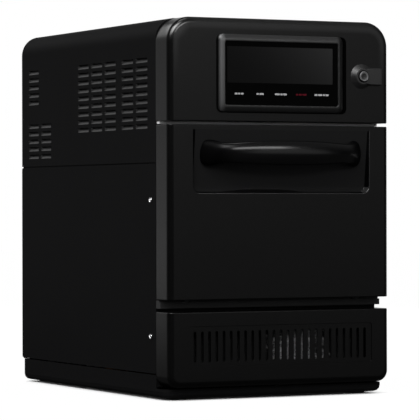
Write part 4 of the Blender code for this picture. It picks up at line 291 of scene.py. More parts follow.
def moulded_black():
    """Black moulded plastic with a fine eroded grain, with a painted sheen along the head's upper rim."""
    finish = Finish("moulding", "moulding_shine", coat_roughness=0.16)
    grain = finish.noise(1900, 2)
    plain = finish.between(finish.noise(6, 2) * 0.7 + grain * 0.3, "moulding", tinted("moulding", 1.3))

    # A painted sheen: a pale band a little inside the head's rim, only on the head's upper part
    corner = bpy.context.scene.oven_sizes.head_corner
    half = (HALF_WIDTH - corner, 0.0, BODY_HIGH - corner)
    from_edge = corner - finish.outside(ORIGIN, half, (1.0, 0.0, 1.0))
    high = finish.steps(finish.axis("Z"), ((0.50, 0.0), (0.585, 1.0)))
    shoulder = finish.steps(from_edge, ((0.007, 0.0), (0.0125, 1.0), (0.019, 0.0)))
    finish.give("Base Color", finish.between(shoulder * high, plain, "shoulder"))

    # The rim itself is matt, except at its left corner, which has a bright spot
    rim_share = finish.steps(from_edge, ((0.007, 1.0), (0.01, 0.0)))
    off_corner = finish.steps(finish.axis("X") + HALF_WIDTH, ((0.03, 0.0), (0.055, 1.0)))
    corner_spot = (0.014 - HALF_WIDTH, FRONT + 0.003, BODY_HIGH - 0.014)
    from_spot = finish.vector("DISTANCE", finish.place(), corner_spot)
    finish.give("Coat Weight", finish.steps(from_spot, ((0.0, 1.0), (0.009, 0.8), (0.022, 0.0))))
    roughness = 0.24 + grain * 0.1 + rim_share * high * off_corner * 0.3
    return finish.done(roughness, grain * 0.6 + finish.cells(1300) * 0.4, 0.00003)


def bezel_satin():
    """Grey satin plastic of the display's frame, with painted light on its left slopes and painted shade on
    its right and lower slopes.
    """
    finish = Finish(ORIGIN)
    grain = finish.noise(1600, 2)
    # Painted light and shade: pale on the left slopes, dark on the right slope and towards the bottom
    from_left, from_right = finish.axis("X") - BEZEL_LOW.x, BEZEL_HIGH.x - finish.axis("X")
    painted_light_left_stops = ((0.0, 0.0), (0.001, 0.1), (0.003, 0.9), (0.006, 0.85), (0.0095, 0.22), (0.013, 0.15))
    left = finish.steps(from_left, painted_light_left_stops)
    right = finish.steps(from_right, ((0.005, 0.0), (0.0085, 0.45), (0.0105, 1.0)))
    low = finish.steps(finish.axis("Z") - BEZEL_LOW.z, ((0.0, 0.35), (0.014, 0.5), (0.02, 0.7), (0.09, 1.0)))
    finish.shades(left * right * low * (0.95 + grain * 0.1), tinted("bezel", 5.5))
    return finish.done(0.34 + grain * 0.1, grain, 0.00002)


def gloss_black():
    """Piano-black plastic with the slightest ripple, matt at the handle's ends."""
    finish = Finish("gloss", 0.02, coat_roughness=0.19)
    finish.shades(finish.noise(2600, 2), 1.4)
    from_middle = finish.number("ABSOLUTE", finish.axis("X") - HANDLE_MIDDLE)
    matt = finish.steps(from_middle, ((0.112, 0.0), (0.126, 1.0)))
    dull_end = -0.13
    past_dull_end = finish.steps(finish.axis("X") - dull_end, ((0.0, 0.1), (0.012, 0.12), (0.038, 1.0)))
    finish.give("Coat Weight", (1 - matt * 0.9) * 0.9 * past_dull_end)
    ripple = finish.noise(60, 1)
    return finish.done(0.45 + ripple * 0.1, ripple, 0.00003)


def display_black():
    """Glass with black print behind it."""
    finish = Finish("glass", 0.03)
    smear = finish.noise((30.0, 30.0, 90.0), 3)
    finish.shades(smear, 1.5)
    return finish.done(0.04 + smear * 0.05, finish.noise(40, 1), 0.000004)


def screen_glow():
    """The unlit screen behind the glass: dark grey, with a painted sheen that lightens it towards its upper
    right.
    """
    finish = Finish(tinted("screen", 0.45), 0.05)
    sheen_start, sheen_width = -0.10, 0.19
    across = (finish.axis("X") - sheen_start) / sheen_width
    along = (finish.axis("Z") - SCREEN[2]) / (SCREEN[3] - SCREEN[2])
    sheen = finish.number("ADD", across * 0.75, along * 0.25, clamp=True)
    finish.shades(sheen ** 2.2, tinted("screen", 2.6))
    finish.give("Roughness", 0.06 + finish.noise((5200.0, 1.0, 5200.0), 0) * 0.06)
    return finish.material


def galvanised():
    """Zinc-coated sheet with its spangle."""
    finish = Finish((0.42, 0.44, 0.45), metallic=0.9)
    spangle = finish.axis("X", finish.cells(160, output="Color"))
    finish.shades(spangle, (0.60, 0.62, 0.64))
    return finish.done(0.34 + spangle * 0.2, finish.noise(500, 2), 0.00001)


def filter_mesh():
    """Expanded metal mesh, near black as painted shade behind the grille, with painted glints across its
    middle.
    """
    finish = Finish(grey(0.002))
    edges = finish.cells((420.0, 0.0, 420.0), "DISTANCE_TO_EDGE")
    strand = finish.steps(edges, ((0.0, 1.0), (0.09, 0.85), (0.16, 0.0)))
    glint_middle = 0.039
    off_middle = finish.axis("X") - glint_middle
    glint_falloff = off_middle * off_middle * 60.0 + finish.noise((70.0, 0.0, 70.0), 2) * 0.7
    painted_glints = finish.steps(glint_falloff, ((0.40, 1.0), (0.52, 0.0)))
    finish.shades(strand, finish.between(painted_glints, grey(0.012), (0.9, 0.9, 0.92)))
    finish.give("Metallic", strand * 0.3)
    return finish.done(0.55 - strand * 0.25, strand, 0.0006)


def insulation():
    """Mineral fibre mat."""
    finish = Finish((0.60, 0.57, 0.50), 0.1)
    fibre = finish.noise((500.0, 120.0, 500.0), 5, 0.7)
    finish.shades(fibre, (0.84, 0.82, 0.77))
    return finish.done(0.95, fibre, 0.0008)


def seal():
    """Woven door seal."""
    finish = Finish(grey(0.11), 0.2)
    across, up = finish.axis("X"), finish.axis("Z")
    weft, warp = (finish.number("SINE", way * 3000.0) for way in (across + up, across - up))
    weave = weft * warp * 0.5 + 0.5
    finish.shades(weave, 1.8)
    return finish.done(0.75, weave, 0.0003)


def ceramic():
    """Glazed ceramic floor with pale specks."""
    finish = Finish((0.82, 0.81, 0.77))
    specks = finish.steps(finish.noise(700, 3), ((0.62, 0.0), (0.72, 1.0)))
    finish.shades(specks, (0.66, 0.64, 0.59))
    return finish.done(0.3 + specks * 0.2, finish.noise(300, 2), 0.00003)


def circuit_board():
    """Green solder mask with tracks."""
    finish = Finish((0.015, 0.10, 0.04))
    edges = finish.cells((170.0, 170.0, 0.0), "DISTANCE_TO_EDGE")
    track = finish.steps(edges, ((0.05, 1.0), (0.08, 0.0)))
    finish.shades(track, (0.05, 0.22, 0.10))
    return finish.done(0.4 + finish.noise(900, 2) * 0.15, track, 0.00004)


def copper_coil():
    """Varnished winding over a laminated core."""
    finish = Finish((0.20, 0.08, 0.03), metallic=1.0)
    turns = finish.number("SINE", finish.axis("Z") * 5200.0) * 0.5 + 0.5
    finish.shades(turns, (0.55, 0.26, 0.12))
    return finish.done(0.32 + finish.noise(300, 2) * 0.2, turns, 0.0002)


def heater_alloy():
    """Heat-tinted sheath of the heating element."""
    finish = Finish((0.16, 0.13, 0.12), metallic=0.9)
    grain = finish.noise(1200, 2)
    finish.shades(finish.noise(35, 3), (0.40, 0.33, 0.26))
    return finish.done(0.42 + grain * 0.2, grain, 0.00002)


# Finishes that are a grain alone: colour, specular level, metallic, scale and detail of the grain, how
# far it lifts the colour, least roughness and its spread, and depth of the relief
GRAINED = {
    # The louvres' slopes: the same coat, painted lighter where they face the light
    "louvre_coat": ("louvre", 0.2, 0.0, 1400, 3, 1.3, 0.36, 0.14, 0.00004),
    # Near black: the joint round the bezel and the painted shadow to its right
    "seat_black": (grey(0.0002), 0.02, 0.0, 1200, 2, 1.5, 0.66, 0.15, 0.00002),
    # The recess's plastic is matt, and its colour is lifted as painted fill light against the handle's shadow
    "recess_black": ("recess", 0.12, 0.0, 1900, 2, 1.3, 0.44, 0.12, 0.00003),
    # Paler plastic on the recess's lit edges and corner: a painted highlight and glint
    "worn_edge": ((0.014, 0.014, 0.0142), 0.8, 0.0, 90, 3, 1.6, 0.16, 0.12, 0.00002),
    "boss_satin": ((0.0090, 0.0090, 0.0092), 0.55, 0.0, 1600, 2, 1.15, 0.34, 0.1, 0.00002),
    "ring_metal": ((0.18, 0.18, 0.185), 0.5, 0.5, 2500, 3, 1.25, 0.4, 0.15, 0.00002),
    # Pale grey: the painted highlight line in the gap under the head
    "gap_trim": (grey(0.55), 0.5, 0.0, 1200, 2, 1.3, 0.35, 0.1, 0.00002),
    "sill_coat": ((0.012, 0.012, 0.0122), 0.3, 0.0, (12.0, 900.0, 900.0), 3, 1.8, 0.38, 0.15, 0.00002),
    "rubber": (grey(0.018), 0.3, 0.0, 1500, 3, 1.5, 0.72, 0.15, 0.00006),
    "dark_plastic": ((0.028, 0.028, 0.029), 0.35, 0.0, 1500, 2, 1.35, 0.45, 0.12, 0.00004),
}

# Metals with tooling marks: colour, least roughness, and the marks' scale along each axis
PLATED = {
    "bright_metal": ((0.78, 0.78, 0.79), 0.15, (900.0, 900.0, 900.0)),
    "stainless": ((0.62, 0.62, 0.61), 0.25, (30.0, 900.0, 900.0)),
    "aluminium": ((0.70, 0.71, 0.72), 0.31, (60.0, 1200.0, 400.0)),
}

WORKED = (powder_coat, moulded_black, bezel_satin, gloss_black, display_black, screen_glow, galvanised)
WORKED += (filter_mesh, insulation, seal, ceramic, circuit_board, copper_coil, heater_alloy)

MAKERS = {maker.__name__: maker for maker in WORKED}
MAKERS.update((name, partial(grained, *values)) for name, values in GRAINED.items())
MAKERS.update((name, partial(plated_metal, *values)) for name, values in PLATED.items())
MAKERS.update(white_mark=partial(printed_mark, "mark"), red_mark=partial(printed_mark, "stop_mark"))

# Nodes that are shown in a finish of their own, and slots whose finish has another name
# The zinc front frame is shown in the black coat as painted shade in the gaps it shows through
NODE_FINISHES = {"air_filter": "filter_mesh", "front_frame": "powder_coat", "sill_bar": "sill_coat"}
SLOT_FINISHES = {
    "black_coat": "powder_coat",
    "black_moulding": "moulded_black",
    "glass_black": "display_black",
}


def made_finish(name):
    """A finish's material, made once."""
    full_name = "oven_" + name
    if full_name not in bpy.data.materials:
        MAKERS[name]().name = full_name
    return bpy.data.materials[full_name]


# Mesh building


def turned_in(points):
    """Makes (across, depth, height) points, with depth counted from the front face, into places."""
    return [Vector((x, FRONT + y, z)) for x, y, z in points]


def flat(outline, depth):
    """Makes an outline of (across, height) points into places at one depth."""
    return turned_in([(x, depth, z) for x, z in outline])


def strip(shape, rows, finish=0, closed=False):
    """Faces between one row of points and the next."""
    lines = [[shape.verts.new(point) for point in row] for row in rows]
    for first, second in zip(lines, lines[1:]):
        count = len(first)
        for i in range(count if closed else count - 1):
            j = (i + 1) % count
            corners = (first[i], first[j], second[j], second[i])
            if len({tuple(corner.co) for corner in corners}) > 2:
                shape.faces.new(corners).material_index = finish


def sheet_face(shape, points, finish=0):
    """One flat face through points."""
    shape.faces.new([shape.verts.new(point) for point in points]).material_index = finish


def fill(shape, loops, finish=0):
    """Fills a flat outline around the holes inside it."""
    edges = []
    for points in loops:
        line = [shape.verts.new(point) for point in points]
        edges += [shape.edges.new((line[i], line[(i + 1) % len(line)])) for i in range(len(line))]
    made = bmesh.ops.triangle_fill(shape, use_beauty=True, use_dissolve=False, edges=edges)
    for item in made["geom"]:
        if isinstance(item, bmesh.types.BMFace):
            item.material_index = finish


def block(shape, low, high, finish=0):
    """A block between two corners, counted from the front face."""
    middle = (Vector(low) + Vector(high)) / 2 + Vector((0, FRONT, 0))
    size = Vector(high) - Vector(low)
    matrix = Matrix.Translation(middle) @ Matrix.Diagonal((*size, 1))
    made = bmesh.ops.create_cube(shape, size=1.0, matrix=matrix)
    for face in {face for vertex in made["verts"] for face in vertex.link_faces}:
        face.material_index = finish


def turning(steps, start, end):
    """Evenly spaced angles in radians between two in degrees."""
    return [math.radians(start + (end - start) * i / steps) for i in range(steps + 1)]


def arc(centre, radius, steps, start, end):
    """Points (across, height) along an arc between two angles in degrees."""
    x, z = centre
    return [(x + radius * math.cos(a), z + radius * math.sin(a)) for a in turning(steps, start, end)]


def circle(centre, radius, sides=48):
    """Points (across, height) round a circle."""
    return arc(centre, radius, sides, 0, 360)[:-1]


def rounded(left, right, low, high, radius, steps=8):
    """A rounded rectangle, anticlockwise from its lower left corner."""
    points = []
    for x, z, start in (
        (left + radius, low + radius, 180),
        (right - radius, low + radius, 270),
        (right - radius, high - radius, 0),
        (left + radius, high - radius, 90),
    ):
        points += arc((x, z), radius, steps, start, start + 90)
    return points


def ring(shape, face, profile, finish=0):
    """A profile of (radius, depth behind a face) in millimetres, turned about the power button's axis."""
    rows = []
    for radius, depth in profile:
        rows.append(flat(circle(BUTTON, radius * MILLIMETRE, 64), face + depth * MILLIMETRE))
    strip(shape, rows, finish, closed=True)


def linked(name, data):
    """A new object in the scene."""
    obj = bpy.data.objects.new(name, data)
    bpy.context.scene.collection.objects.link(obj)
    return obj


def meshed(name, shape, materials):
    """A new object out of a shape and its materials."""
    bmesh.ops.recalc_face_normals(shape, faces=shape.faces)
    mesh = bpy.data.meshes.new(name)
    shape.to_mesh(mesh)
    shape.free()
    for material in materials:
        mesh.materials.append(material)
    return linked(name, mesh)


def piece(name, shape, body, finishes, stands_for=(), crease=30.0):
    """Makes a named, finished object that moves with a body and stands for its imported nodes."""
    bmesh.ops.remove_doubles(shape, verts=shape.verts, dist=WELD)
    obj = meshed(name, shape, [made_finish(finish) for finish in finishes])
    obj.data.shade_smooth()
    obj.data.set_sharp_from_angle(angle=math.radians(crease))
    even = obj.modifiers.new("even_shading", "WEIGHTED_NORMAL")
    even.keep_sharp = True
    even.weight = 80
    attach(obj, body)
    if stands_for:
        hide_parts(*stands_for)


# Mouldings: a rounded rim round an open path, with small round lips at the path's ends


def rim_profile(sizes, depth, drawn_in):
    """The rim's section as (inset, depth), from its inner back edge to the front face."""
    radius = sizes.rim_round - drawn_in
    points = [(sizes.wall, depth - 2 * sizes.wall), (sizes.wall, depth)]
    points += [(drawn_in, depth), (drawn_in, sizes.rim_round)]
    for a in turning(10, 9, 90):
        points.append((drawn_in + radius * (1 - math.cos(a)), drawn_in + radius * (1 - math.sin(a))))
    return points


def lip_steps(sizes):
    """How far a lip has drawn in, and how far it still is from its end, step by step."""
    lip = sizes.lip_round
    return [(lip * (1 - math.cos(a)), lip * (1 - math.sin(a))) for a in turning(4, 90, 0)]


def rim(shape, sizes, stations, depth):
    """The rounded rim along stations of (x, z, outward x, outward z, drawn in)."""
    rows = []
    for x, z, out_x, out_z, drawn_in in stations:
        profile = rim_profile(sizes, depth, drawn_in)
        rows.append(turned_in([(x - out_x * inset, y, z - out_z * inset) for inset, y in profile]))
    strip(shape, rows)


def side_lips(sizes, side, z, step):
    """Stations of a side's rim at an end that has a lip, from the end inwards: up for step 1, down for -1."""
    return [(side * HALF_WIDTH, z + step * away, side, 0, drawn_in) for drawn_in, away in lip_steps(sizes)]


def corner_stations(radius, middle_z, steps, turns):
    """Stations round corners, each given as its side and its first and last angle."""
    stations = []
    for side, start, end in turns:
        for out_x, out_z in arc((0, 0), 1, steps, start, end):
            x = side * (HALF_WIDTH - radius) + radius * out_x
            stations.append((x, middle_z + radius * out_z, out_x, out_z, 0))
    return stations


def lip(shape, sizes, z, step, depth, notches=()):
    """The lip's front strip and the flat end that closes the moulding there."""
    reach = HALF_WIDTH - sizes.rim_round
    rows = []
    for drawn_in, away in lip_steps(sizes):
        rows.append(turned_in([(x, drawn_in, z + step * away) for x in (-reach, 0, reach)]))
    strip(shape, rows)
    section = rim_profile(sizes, depth, sizes.lip_round)[2:]
    outline = [(-HALF_WIDTH + inset, y) for inset, y in section]
    outline += [(HALF_WIDTH - inset, y) for inset, y in reversed(section)]
    for middle, width, front in sorted(notches, reverse=True):
        outline += [(middle + width / 2, depth), (middle + width / 2, front)]
        outline += [(middle - width / 2, front), (middle - width / 2, depth)]
    sheet_face(shape, turned_in([(x, y, z) for x, y in outline]))


def end_moulding(shape, sizes, end, far, radius, steps):
    """A moulding with a lip at one end and two round corners at the far one. Gives its face's outline."""
    step = 1 if far > end else -1
    side_angle, middle_angle, last_angle = 180, 180 - 90 * step, 180 - 180 * step
    turns = ((-1, side_angle, middle_angle), (1, middle_angle, last_angle))
    stations = side_lips(sizes, -1, end, step)
    stations += corner_stations(radius, far - step * radius, steps, turns)
    stations += side_lips(sizes, 1, end, step)[::-1]
    rim(shape, sizes, stations, MOULDING_DEPTH)
    lip(shape, sizes, end, step, MOULDING_DEPTH)
    inset = sizes.rim_round
    return flat([(x - ox * inset, z - oz * inset) for x, z, ox, oz, drawn in stations if drawn < WELD], 0)


# Settings


def number_setting(name, description, default, unit="NONE"):
    """A number that can be changed in the scene."""
    return bpy.props.FloatProperty(name=name, description=description, default=default, unit=unit)


def colour_setting(name, description, default):
    """A colour that can be changed in the scene."""
    return bpy.props.FloatVectorProperty(name=name, description=description, default=default, subtype="COLOR")


length_setting = partial(number_setting, unit="LENGTH")
power_setting = partial(number_setting, unit="POWER")


class OvenSizes(bpy.types.PropertyGroup):
    """Sizes of the visible pieces."""

    rim_round: length_setting("Rim rounding", "Radius of the mouldings' front rims", 0.0099)
    lip_round: length_setting("Lip rounding", "Radius of the mouldings' straight lips", 0.0014)
    wall: length_setting("Wall", "Thickness of the mouldings' walls", 0.003)
    head_corner: length_setting("Head corner", "Radius of the head's upper corners", 0.040)
    panel_corner: length_setting("Lower panel corner", "Radius of the lower panel's corners", 0.018)
    cover_corner: length_setting("Cover fold", "Radius of the cover's folds", 0.034)
    louvre_length: length_setting("Louvre length", "Length of a pressed louvre", 0.043)
    louvre_height: length_setting("Louvre height", "Height of a pressed louvre", 0.0074)
    louvre_depth: length_setting("Louvre depth", "How far a louvre is pressed in at its top", 0.0048)
    recess_depth: length_setting("Recess depth", "Depth of the handle recess near its lower edge", 0.010)
    recess_edge: length_setting("Recess edge", "Radius of the recess's outer edge", 0.0009)


class OvenColours(bpy.types.PropertyGroup):
    """Colours and shine of the visible finishes."""

    coat: colour_setting("Coat", "Powder coat of the sheets", (0.0055, 0.0055, 0.0057))
    coat_shine: number_setting("Coat shine", "Specular level of the powder coat", 0.008)
    # The coat painted lighter on the louvres' slopes, as painted light
    louvre: colour_setting("Louvre slopes", "Coat on the louvres' slopes", (0.0115, 0.0115, 0.0117))
    moulding: colour_setting("Mouldings", "Plastic of head, door and lower panel", (0.0006, 0.0006, 0.00063))
    moulding_shine: number_setting("Moulding shine", "Specular level of the mouldings", 0.3)
    # The colour of the painted sheen along the head's rim
    shoulder: colour_setting("Shoulder", "Rubbed plastic along the head's rim", (0.016, 0.016, 0.0162))
    # Lifted as painted fill light against the handle's shadow
    recess: colour_setting("Recess", "Plastic of the handle recess", (0.0068, 0.0068, 0.0070))
    # The bezel's colour, which its finish lifts with painted light on the left and lowers with painted shade
    # on the right and below
    bezel: colour_setting("Bezel", "Plastic of the display's frame", (0.0175, 0.0175, 0.0179))
    gloss: colour_setting("Gloss black", "Plastic of handle and button cap", (0.0008, 0.0008, 0.0009))
    glass: colour_setting("Glass", "Print behind the display glass", (0.0004, 0.0004, 0.0004))
    screen: colour_setting("Screen", "Unlit screen", (0.0078, 0.0078, 0.0079))
    mark: colour_setting("Marks", "Ink of the touch marks", (0.32, 0.32, 0.325))
    stop_mark: colour_setting("Stop mark", "Ink of the stop mark", (0.060, 0.002, 0.006))
    floor: colour_setting("Floor", "Pale studio floor", (0.82, 0.82, 0.82))


class OvenLights(bpy.types.PropertyGroup):
    """Power of the studio's lamps."""

    top: power_setting("Top", "Small lamp overhead", 5.0)
    streak: power_setting("Streak", "Wide lamp before the front", 9.5)
    key: power_setting("Key", "Lamp at the upper left", 50.0)
    fill: power_setting("Fill", "Lamp behind, to the right", 200.0)
    rear: power_setting("Rear", "Lamp behind, to the left", 6.0)


# Steps


class OVEN_OT_packed_finishes(bpy.types.Operator):
    """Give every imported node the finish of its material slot"""

    bl_idname = "oven.packed_finishes"
    bl_label = "Finishes of the packed nodes"

    def execute(self, context):
        slots = {part["node"]: part["material_slot"] for part in frame["record"]["subparts"]}
        for node, obj in frame["nodes"].items():
            slot = slots[node]
            finish = NODE_FINISHES.get(node, SLOT_FINISHES.get(slot, slot))
            obj.data.materials.clear()
            obj.data.materials.append(made_finish(finish))
        return {"FINISHED"}


class OVEN_OT_upper_cover(bpy.types.Operator):
    """Build the folded upper cover with its pressed louvres"""

    bl_idname = "oven.upper_cover"
    bl_label = "Upper cover"

    def louvre_places(self):
        """Centre (depth, height) of every louvre on one side."""
        high, low, row_pitch, column_pitch = 0.535, 0.442, 0.0131, 0.0534
        rear = 0.5356
        places = []
        for first, columns in ((0.0988, 2), (0.2185, 3)):
            for column in range(columns):
                places += [(first + column * column_pitch, high - row * row_pitch) for row in range(9)]
        for row in range(5):
            drop = row * row_pitch
            places += [(rear, high - drop), (rear, low - drop), (rear - column_pitch, low - drop)]
        return places

    def scoop(self, sizes, middle, height):
        """A louvre's surface as rows of (depth, height, pressed in) from its lower bend to its cut edge."""
        half = sizes.louvre_length / 2
        low = height - sizes.louvre_height / 2
        bend_end = 0.22
        rows = []
        for share in (0, 0.05, 0.12, bend_end, 0.4, 0.6, 0.8, 1.0):
            bend = min(1.0, share / bend_end)
            pressed = sizes.louvre_depth * share * bend * (2 - bend)
            row = []
            for a in turning(16, -90, 90):
                along = math.sin(a)
                end = (1 - abs(along) ** 8) ** 0.5
                row.append((middle + half * along, low + sizes.louvre_height * share, pressed * end))
            rows.append(row)
        return rows

    def execute(self, context):
        sizes = context.scene.oven_sizes
        front, back = COVER_LOW.y - FRONT, COVER_HIGH.y - FRONT
        low, top = COVER_LOW.z, COVER_HIGH.z - sizes.cover_corner
        shape = bmesh.new()
        stations = [(HALF_WIDTH, low, 1, 0, 0), (HALF_WIDTH, top, 1, 0, 0)]
        stations += corner_stations(sizes.cover_corner, top, 16, ((1, 0, 90), (-1, 90, 180)))
        stations += [(-HALF_WIDTH, top, -1, 0, 0), (-HALF_WIDTH, low, -1, 0, 0)]
        edge = SHEET / 3
        section = [(SHEET, front + 4 * SHEET), (SHEET, front), (edge, front), (0, front + edge)]
        section += [(0, back - edge), (edge, back), (SHEET, back), (SHEET, back - 4 * SHEET)]
        rows = [turned_in([(x - ox * i, y, z - oz * i) for i, y in section]) for x, z, ox, oz, _ in stations]
        strip(shape, rows[1:-1])
        for side in (1, -1):
            pair = rows[:2] if side > 0 else rows[-2:]
            for span in (slice(0, 4), slice(4, 8)):
                strip(shape, [row[span] for row in pair])
            outer, inner = side * HALF_WIDTH, side * (HALF_WIDTH - SHEET)
            near_edge, far_edge = front + edge, back - edge
            outline = ((near_edge, low), (far_edge, low), (far_edge, top), (near_edge, top))
            loops = [turned_in([(outer, y, z) for y, z in outline])]
            for middle, height in self.louvre_places():
                scoop = self.scoop(sizes, middle, height)
                points = [[(side * (HALF_WIDTH - pressed), y, z) for y, z, pressed in row] for row in scoop]
                strip(shape, [turned_in(row) for row in points], 1)
                near, far = ([row[end] for row in points[1:]] for end in (0, -1))
                loops.append(turned_in(points[0] + far + near[::-1]))
                cut = (near[-1][1:], far[-1][1:])
                strip(shape, [turned_in([(x, y, z) for y, z in cut]) for x in (outer, inner)])
                tuck = points[-1]
                strip(shape, [turned_in(tuck), turned_in([(x, y, z + MILLIMETRE) for x, y, z in tuck])], 1)
            fill(shape, loops)
            strip(shape, [turned_in([(x, front, low), (x, back, low)]) for x in (outer, inner)])
            # The lap behind the seam with the side panel, clear of the sheet and of both its ends
            half, near_end, far_end = 0.006, front + 0.031, back - 0.0045
            left, right = sorted(inner - side * clearance for clearance in (0.0004, 0.0014))
            block(shape, (left, near_end, low - half), (right, far_end, low + half))
        finishes = ("powder_coat", "louvre_coat")
        piece("cover_with_louvres", shape, "casing", finishes, ("upper_cover",), crease=26.0)
        return {"FINISHED"}


class OVEN_OT_control_head(bpy.types.Operator):
    """Build the control head with its drip lip and the boss around the power button"""

    bl_idname = "oven.control_head"
    bl_label = "Control head"

    # The boss from the head's face outwards: radius of its cone, half height of its tab, and depth
    boss_levels = (
        (0.0212, 0.0146, 0.0006),
        (0.0200, 0.0138, 0.0),
        (0.0194, 0.0135, -0.0006),
        (0.0141, 0.0132, -0.0058),
        (0.0136, 0.0130, -0.0064),
        (0.0129, 0.0126, -0.0069),
        (0.0120, 0.0120, -0.007),
    )
    boss_bore = 0.0097
    tab_end = 0.1825

    def tab_edge(self, joint, radius, half, side):
        """One edge of the tab from where it leaves the cone: the upper one for side 1, the lower for -1."""
        x, z = joint
        level = BUTTON[1] + side * half
        eased_across, eased_up = 0.3, 0.35
        edge = [(x + eased_across * (radius - half), level + eased_up * (z - level))]
        edge += [(x + (self.tab_end - x) * share, level) for share in (0.3, 0.6)]
        return edge + [(self.tab_end - (self.boss_levels[0][1] - half), level)]

    def boss(self, shape):
        """A cone that runs into a flat tab towards the right, with soft edges and a bore."""
        rows = []
        for radius, half, depth in self.boss_levels:
            cone = arc(BUTTON, radius, 40, 55, 305)
            upper = self.tab_edge(cone[0], radius, half, 1)
            lower = self.tab_edge(cone[-1], radius, half, -1)
            rows.append(flat(upper[::-1] + cone + lower, depth))
        strip(shape, rows, 2, closed=True)
        bore = circle(BUTTON, self.boss_bore)
        mouth = flat(bore, self.boss_levels[-1][2])
        fill(shape, [rows[-1], mouth], 2)
        strip(shape, [mouth, flat(bore, 0.002)], closed=True)

    def execute(self, context):
        sizes = context.scene.oven_sizes
        shape = bmesh.new()
        face = end_moulding(shape, sizes, HEAD_LOW, BODY_HIGH, sizes.head_corner, 24)
        left, right, low, high = BEZEL_LOW.x, BEZEL_HIGH.x, BEZEL_LOW.z, BEZEL_HIGH.z
        under_bezel = 0.007
        hole = [left + under_bezel, right - under_bezel, low + under_bezel, high - under_bezel]
        bezel = rounded(*hole, 0.004)
        # A dark joint round the bezel, widened on its right into a painted shadow
        joint_and_shadow_outline = rounded(left - 0.0015, right + 0.0085, low - 0.001, high, 0.009)
        fill(shape, [face, flat(joint_and_shadow_outline, 0)])
        fill(shape, [flat(joint_and_shadow_outline, 0), flat(bezel, 0)], 3)
        strip(shape, [flat(bezel, 0), flat(bezel, sizes.wall)], closed=True)
        # The drip lip behind the gap under the head is pale grey: a painted highlight line in the gap
        half = HALF_WIDTH - sizes.wall / 2
        drip_lip_high = (half, MOULDING_DEPTH - 0.0003, HEAD_LOW + sizes.wall / 2)
        block(shape, (-half, 0.036, DRIP_LIP_LOW), drip_lip_high, 1)
        self.boss(shape)
        finishes = ("moulded_black", "gap_trim", "boss_satin", "seat_black")
        piece("head_moulding", shape, "casing", finishes, ("control_head",))
        return {"FINISHED"}


class OVEN_OT_display(bpy.types.Operator):
    """Build the display's raised bezel, its glass with the screen, and the row of touch marks"""

    bl_idname = "oven.display"
    bl_label = "Display"

    def frame_piece(self):
        """The bezel: a rim that slopes outwards on all four sides."""
        outer = (BEZEL_LOW.x, BEZEL_HIGH.x, BEZEL_LOW.z, BEZEL_HIGH.z)
        inner = (-0.1027, 0.0997, 0.4627, 0.5627)
        front = BEZEL_LOW.y - FRONT
        # Share of the way from the outer to the inner outline, depth, and radius of the corners
        levels = [(0, -0.0003, 0.009), (0, -0.0022, 0.009), (0.015, -0.0034, 0.009)]
        levels += [(0.06, -0.0044, 0.0088), (0.16, -0.0054, 0.0082), (0.34, -0.0066, 0.0072)]
        levels += [(0.55, -0.0075, 0.006), (0.74, front, 0.005), (0.90, front, 0.0038)]
        levels += [(0.965, -0.0077, 0.0033), (1.0, -0.0070, 0.003), (1.0, -0.0056, 0.003)]
        shape = bmesh.new()
        rows = []
        for share, depth, radius in levels:
            box = (a + (b - a) * share for a, b in zip(outer, inner))
            rows.append(flat(rounded(*box, radius), depth))
        strip(shape, rows, closed=True)
        finishes = ("bezel_satin",)
        piece("bezel_frame", shape, "casing", finishes, ("display_bezel",), crease=40.0)

    def glass_piece(self, front):
        """The glass, whose screen is a face of its own."""
        shape = bmesh.new()
        left, right, low, high = GLASS_LOW.x, GLASS_HIGH.x, GLASS_LOW.z, GLASS_HIGH.z
        bevel = 0.0005
        rows = []
        for inset, depth in ((0, GLASS_HIGH.y - FRONT), (0, front + bevel), (bevel, front)):
            outline = rounded(left + inset, right - inset, low + inset, high - inset, 0.003 - inset)
            rows.append(flat(outline, depth))
        strip(shape, rows, closed=True)
        sheet_face(shape, rows[0])
        screen = flat(rounded(*SCREEN, 0.0006, 2), front)
        fill(shape, [rows[-1], screen])
        sheet_face(shape, screen, 1)
        finishes = ("display_black", "screen_glow")
        piece("glass_with_screen", shape, "casing", finishes, ("display_glass",))

    def marks(self, front):
        """Five generic touch marks, each a short row of printed bars."""
        # Name, left and right end, the bars' lengths in shares, and finish
        groups = (
            ("left", -0.0853, -0.0700, (3, 2, 3), "white_mark"),
            ("second", -0.0468, -0.0340, (2, 4), "white_mark"),
            ("middle", -0.0140, 0.0073, (4, 2, 3), "white_mark"),
            ("stop", 0.0238, 0.0430, (2, 3, 4), "red_mark"),
            ("right", 0.0572, 0.0830, (3, 4, 2, 3), "white_mark"),
        )
        low, high, corner, gap, ink = 0.4791, 0.4819, 0.0008, 0.0011, 0.00012
        for name, left, right, shares, finish in groups:
            shape = bmesh.new()
            unit = (right - left - gap * (len(shares) - 1)) / sum(shares)
            for share in shares:
                outline = rounded(left, left + unit * share, low, high, corner, 4)
                strip(shape, [flat(outline, front), flat(outline, front - ink)], closed=True)
                sheet_face(shape, flat(outline, front - ink))
                left += unit * share + gap
            piece(f"touch_mark_{name}", shape, "casing", (finish,))

    def execute(self, context):
        front = GLASS_LOW.y - FRONT
        self.frame_piece()
        self.glass_piece(front)
        self.marks(front)
        return {"FINISHED"}


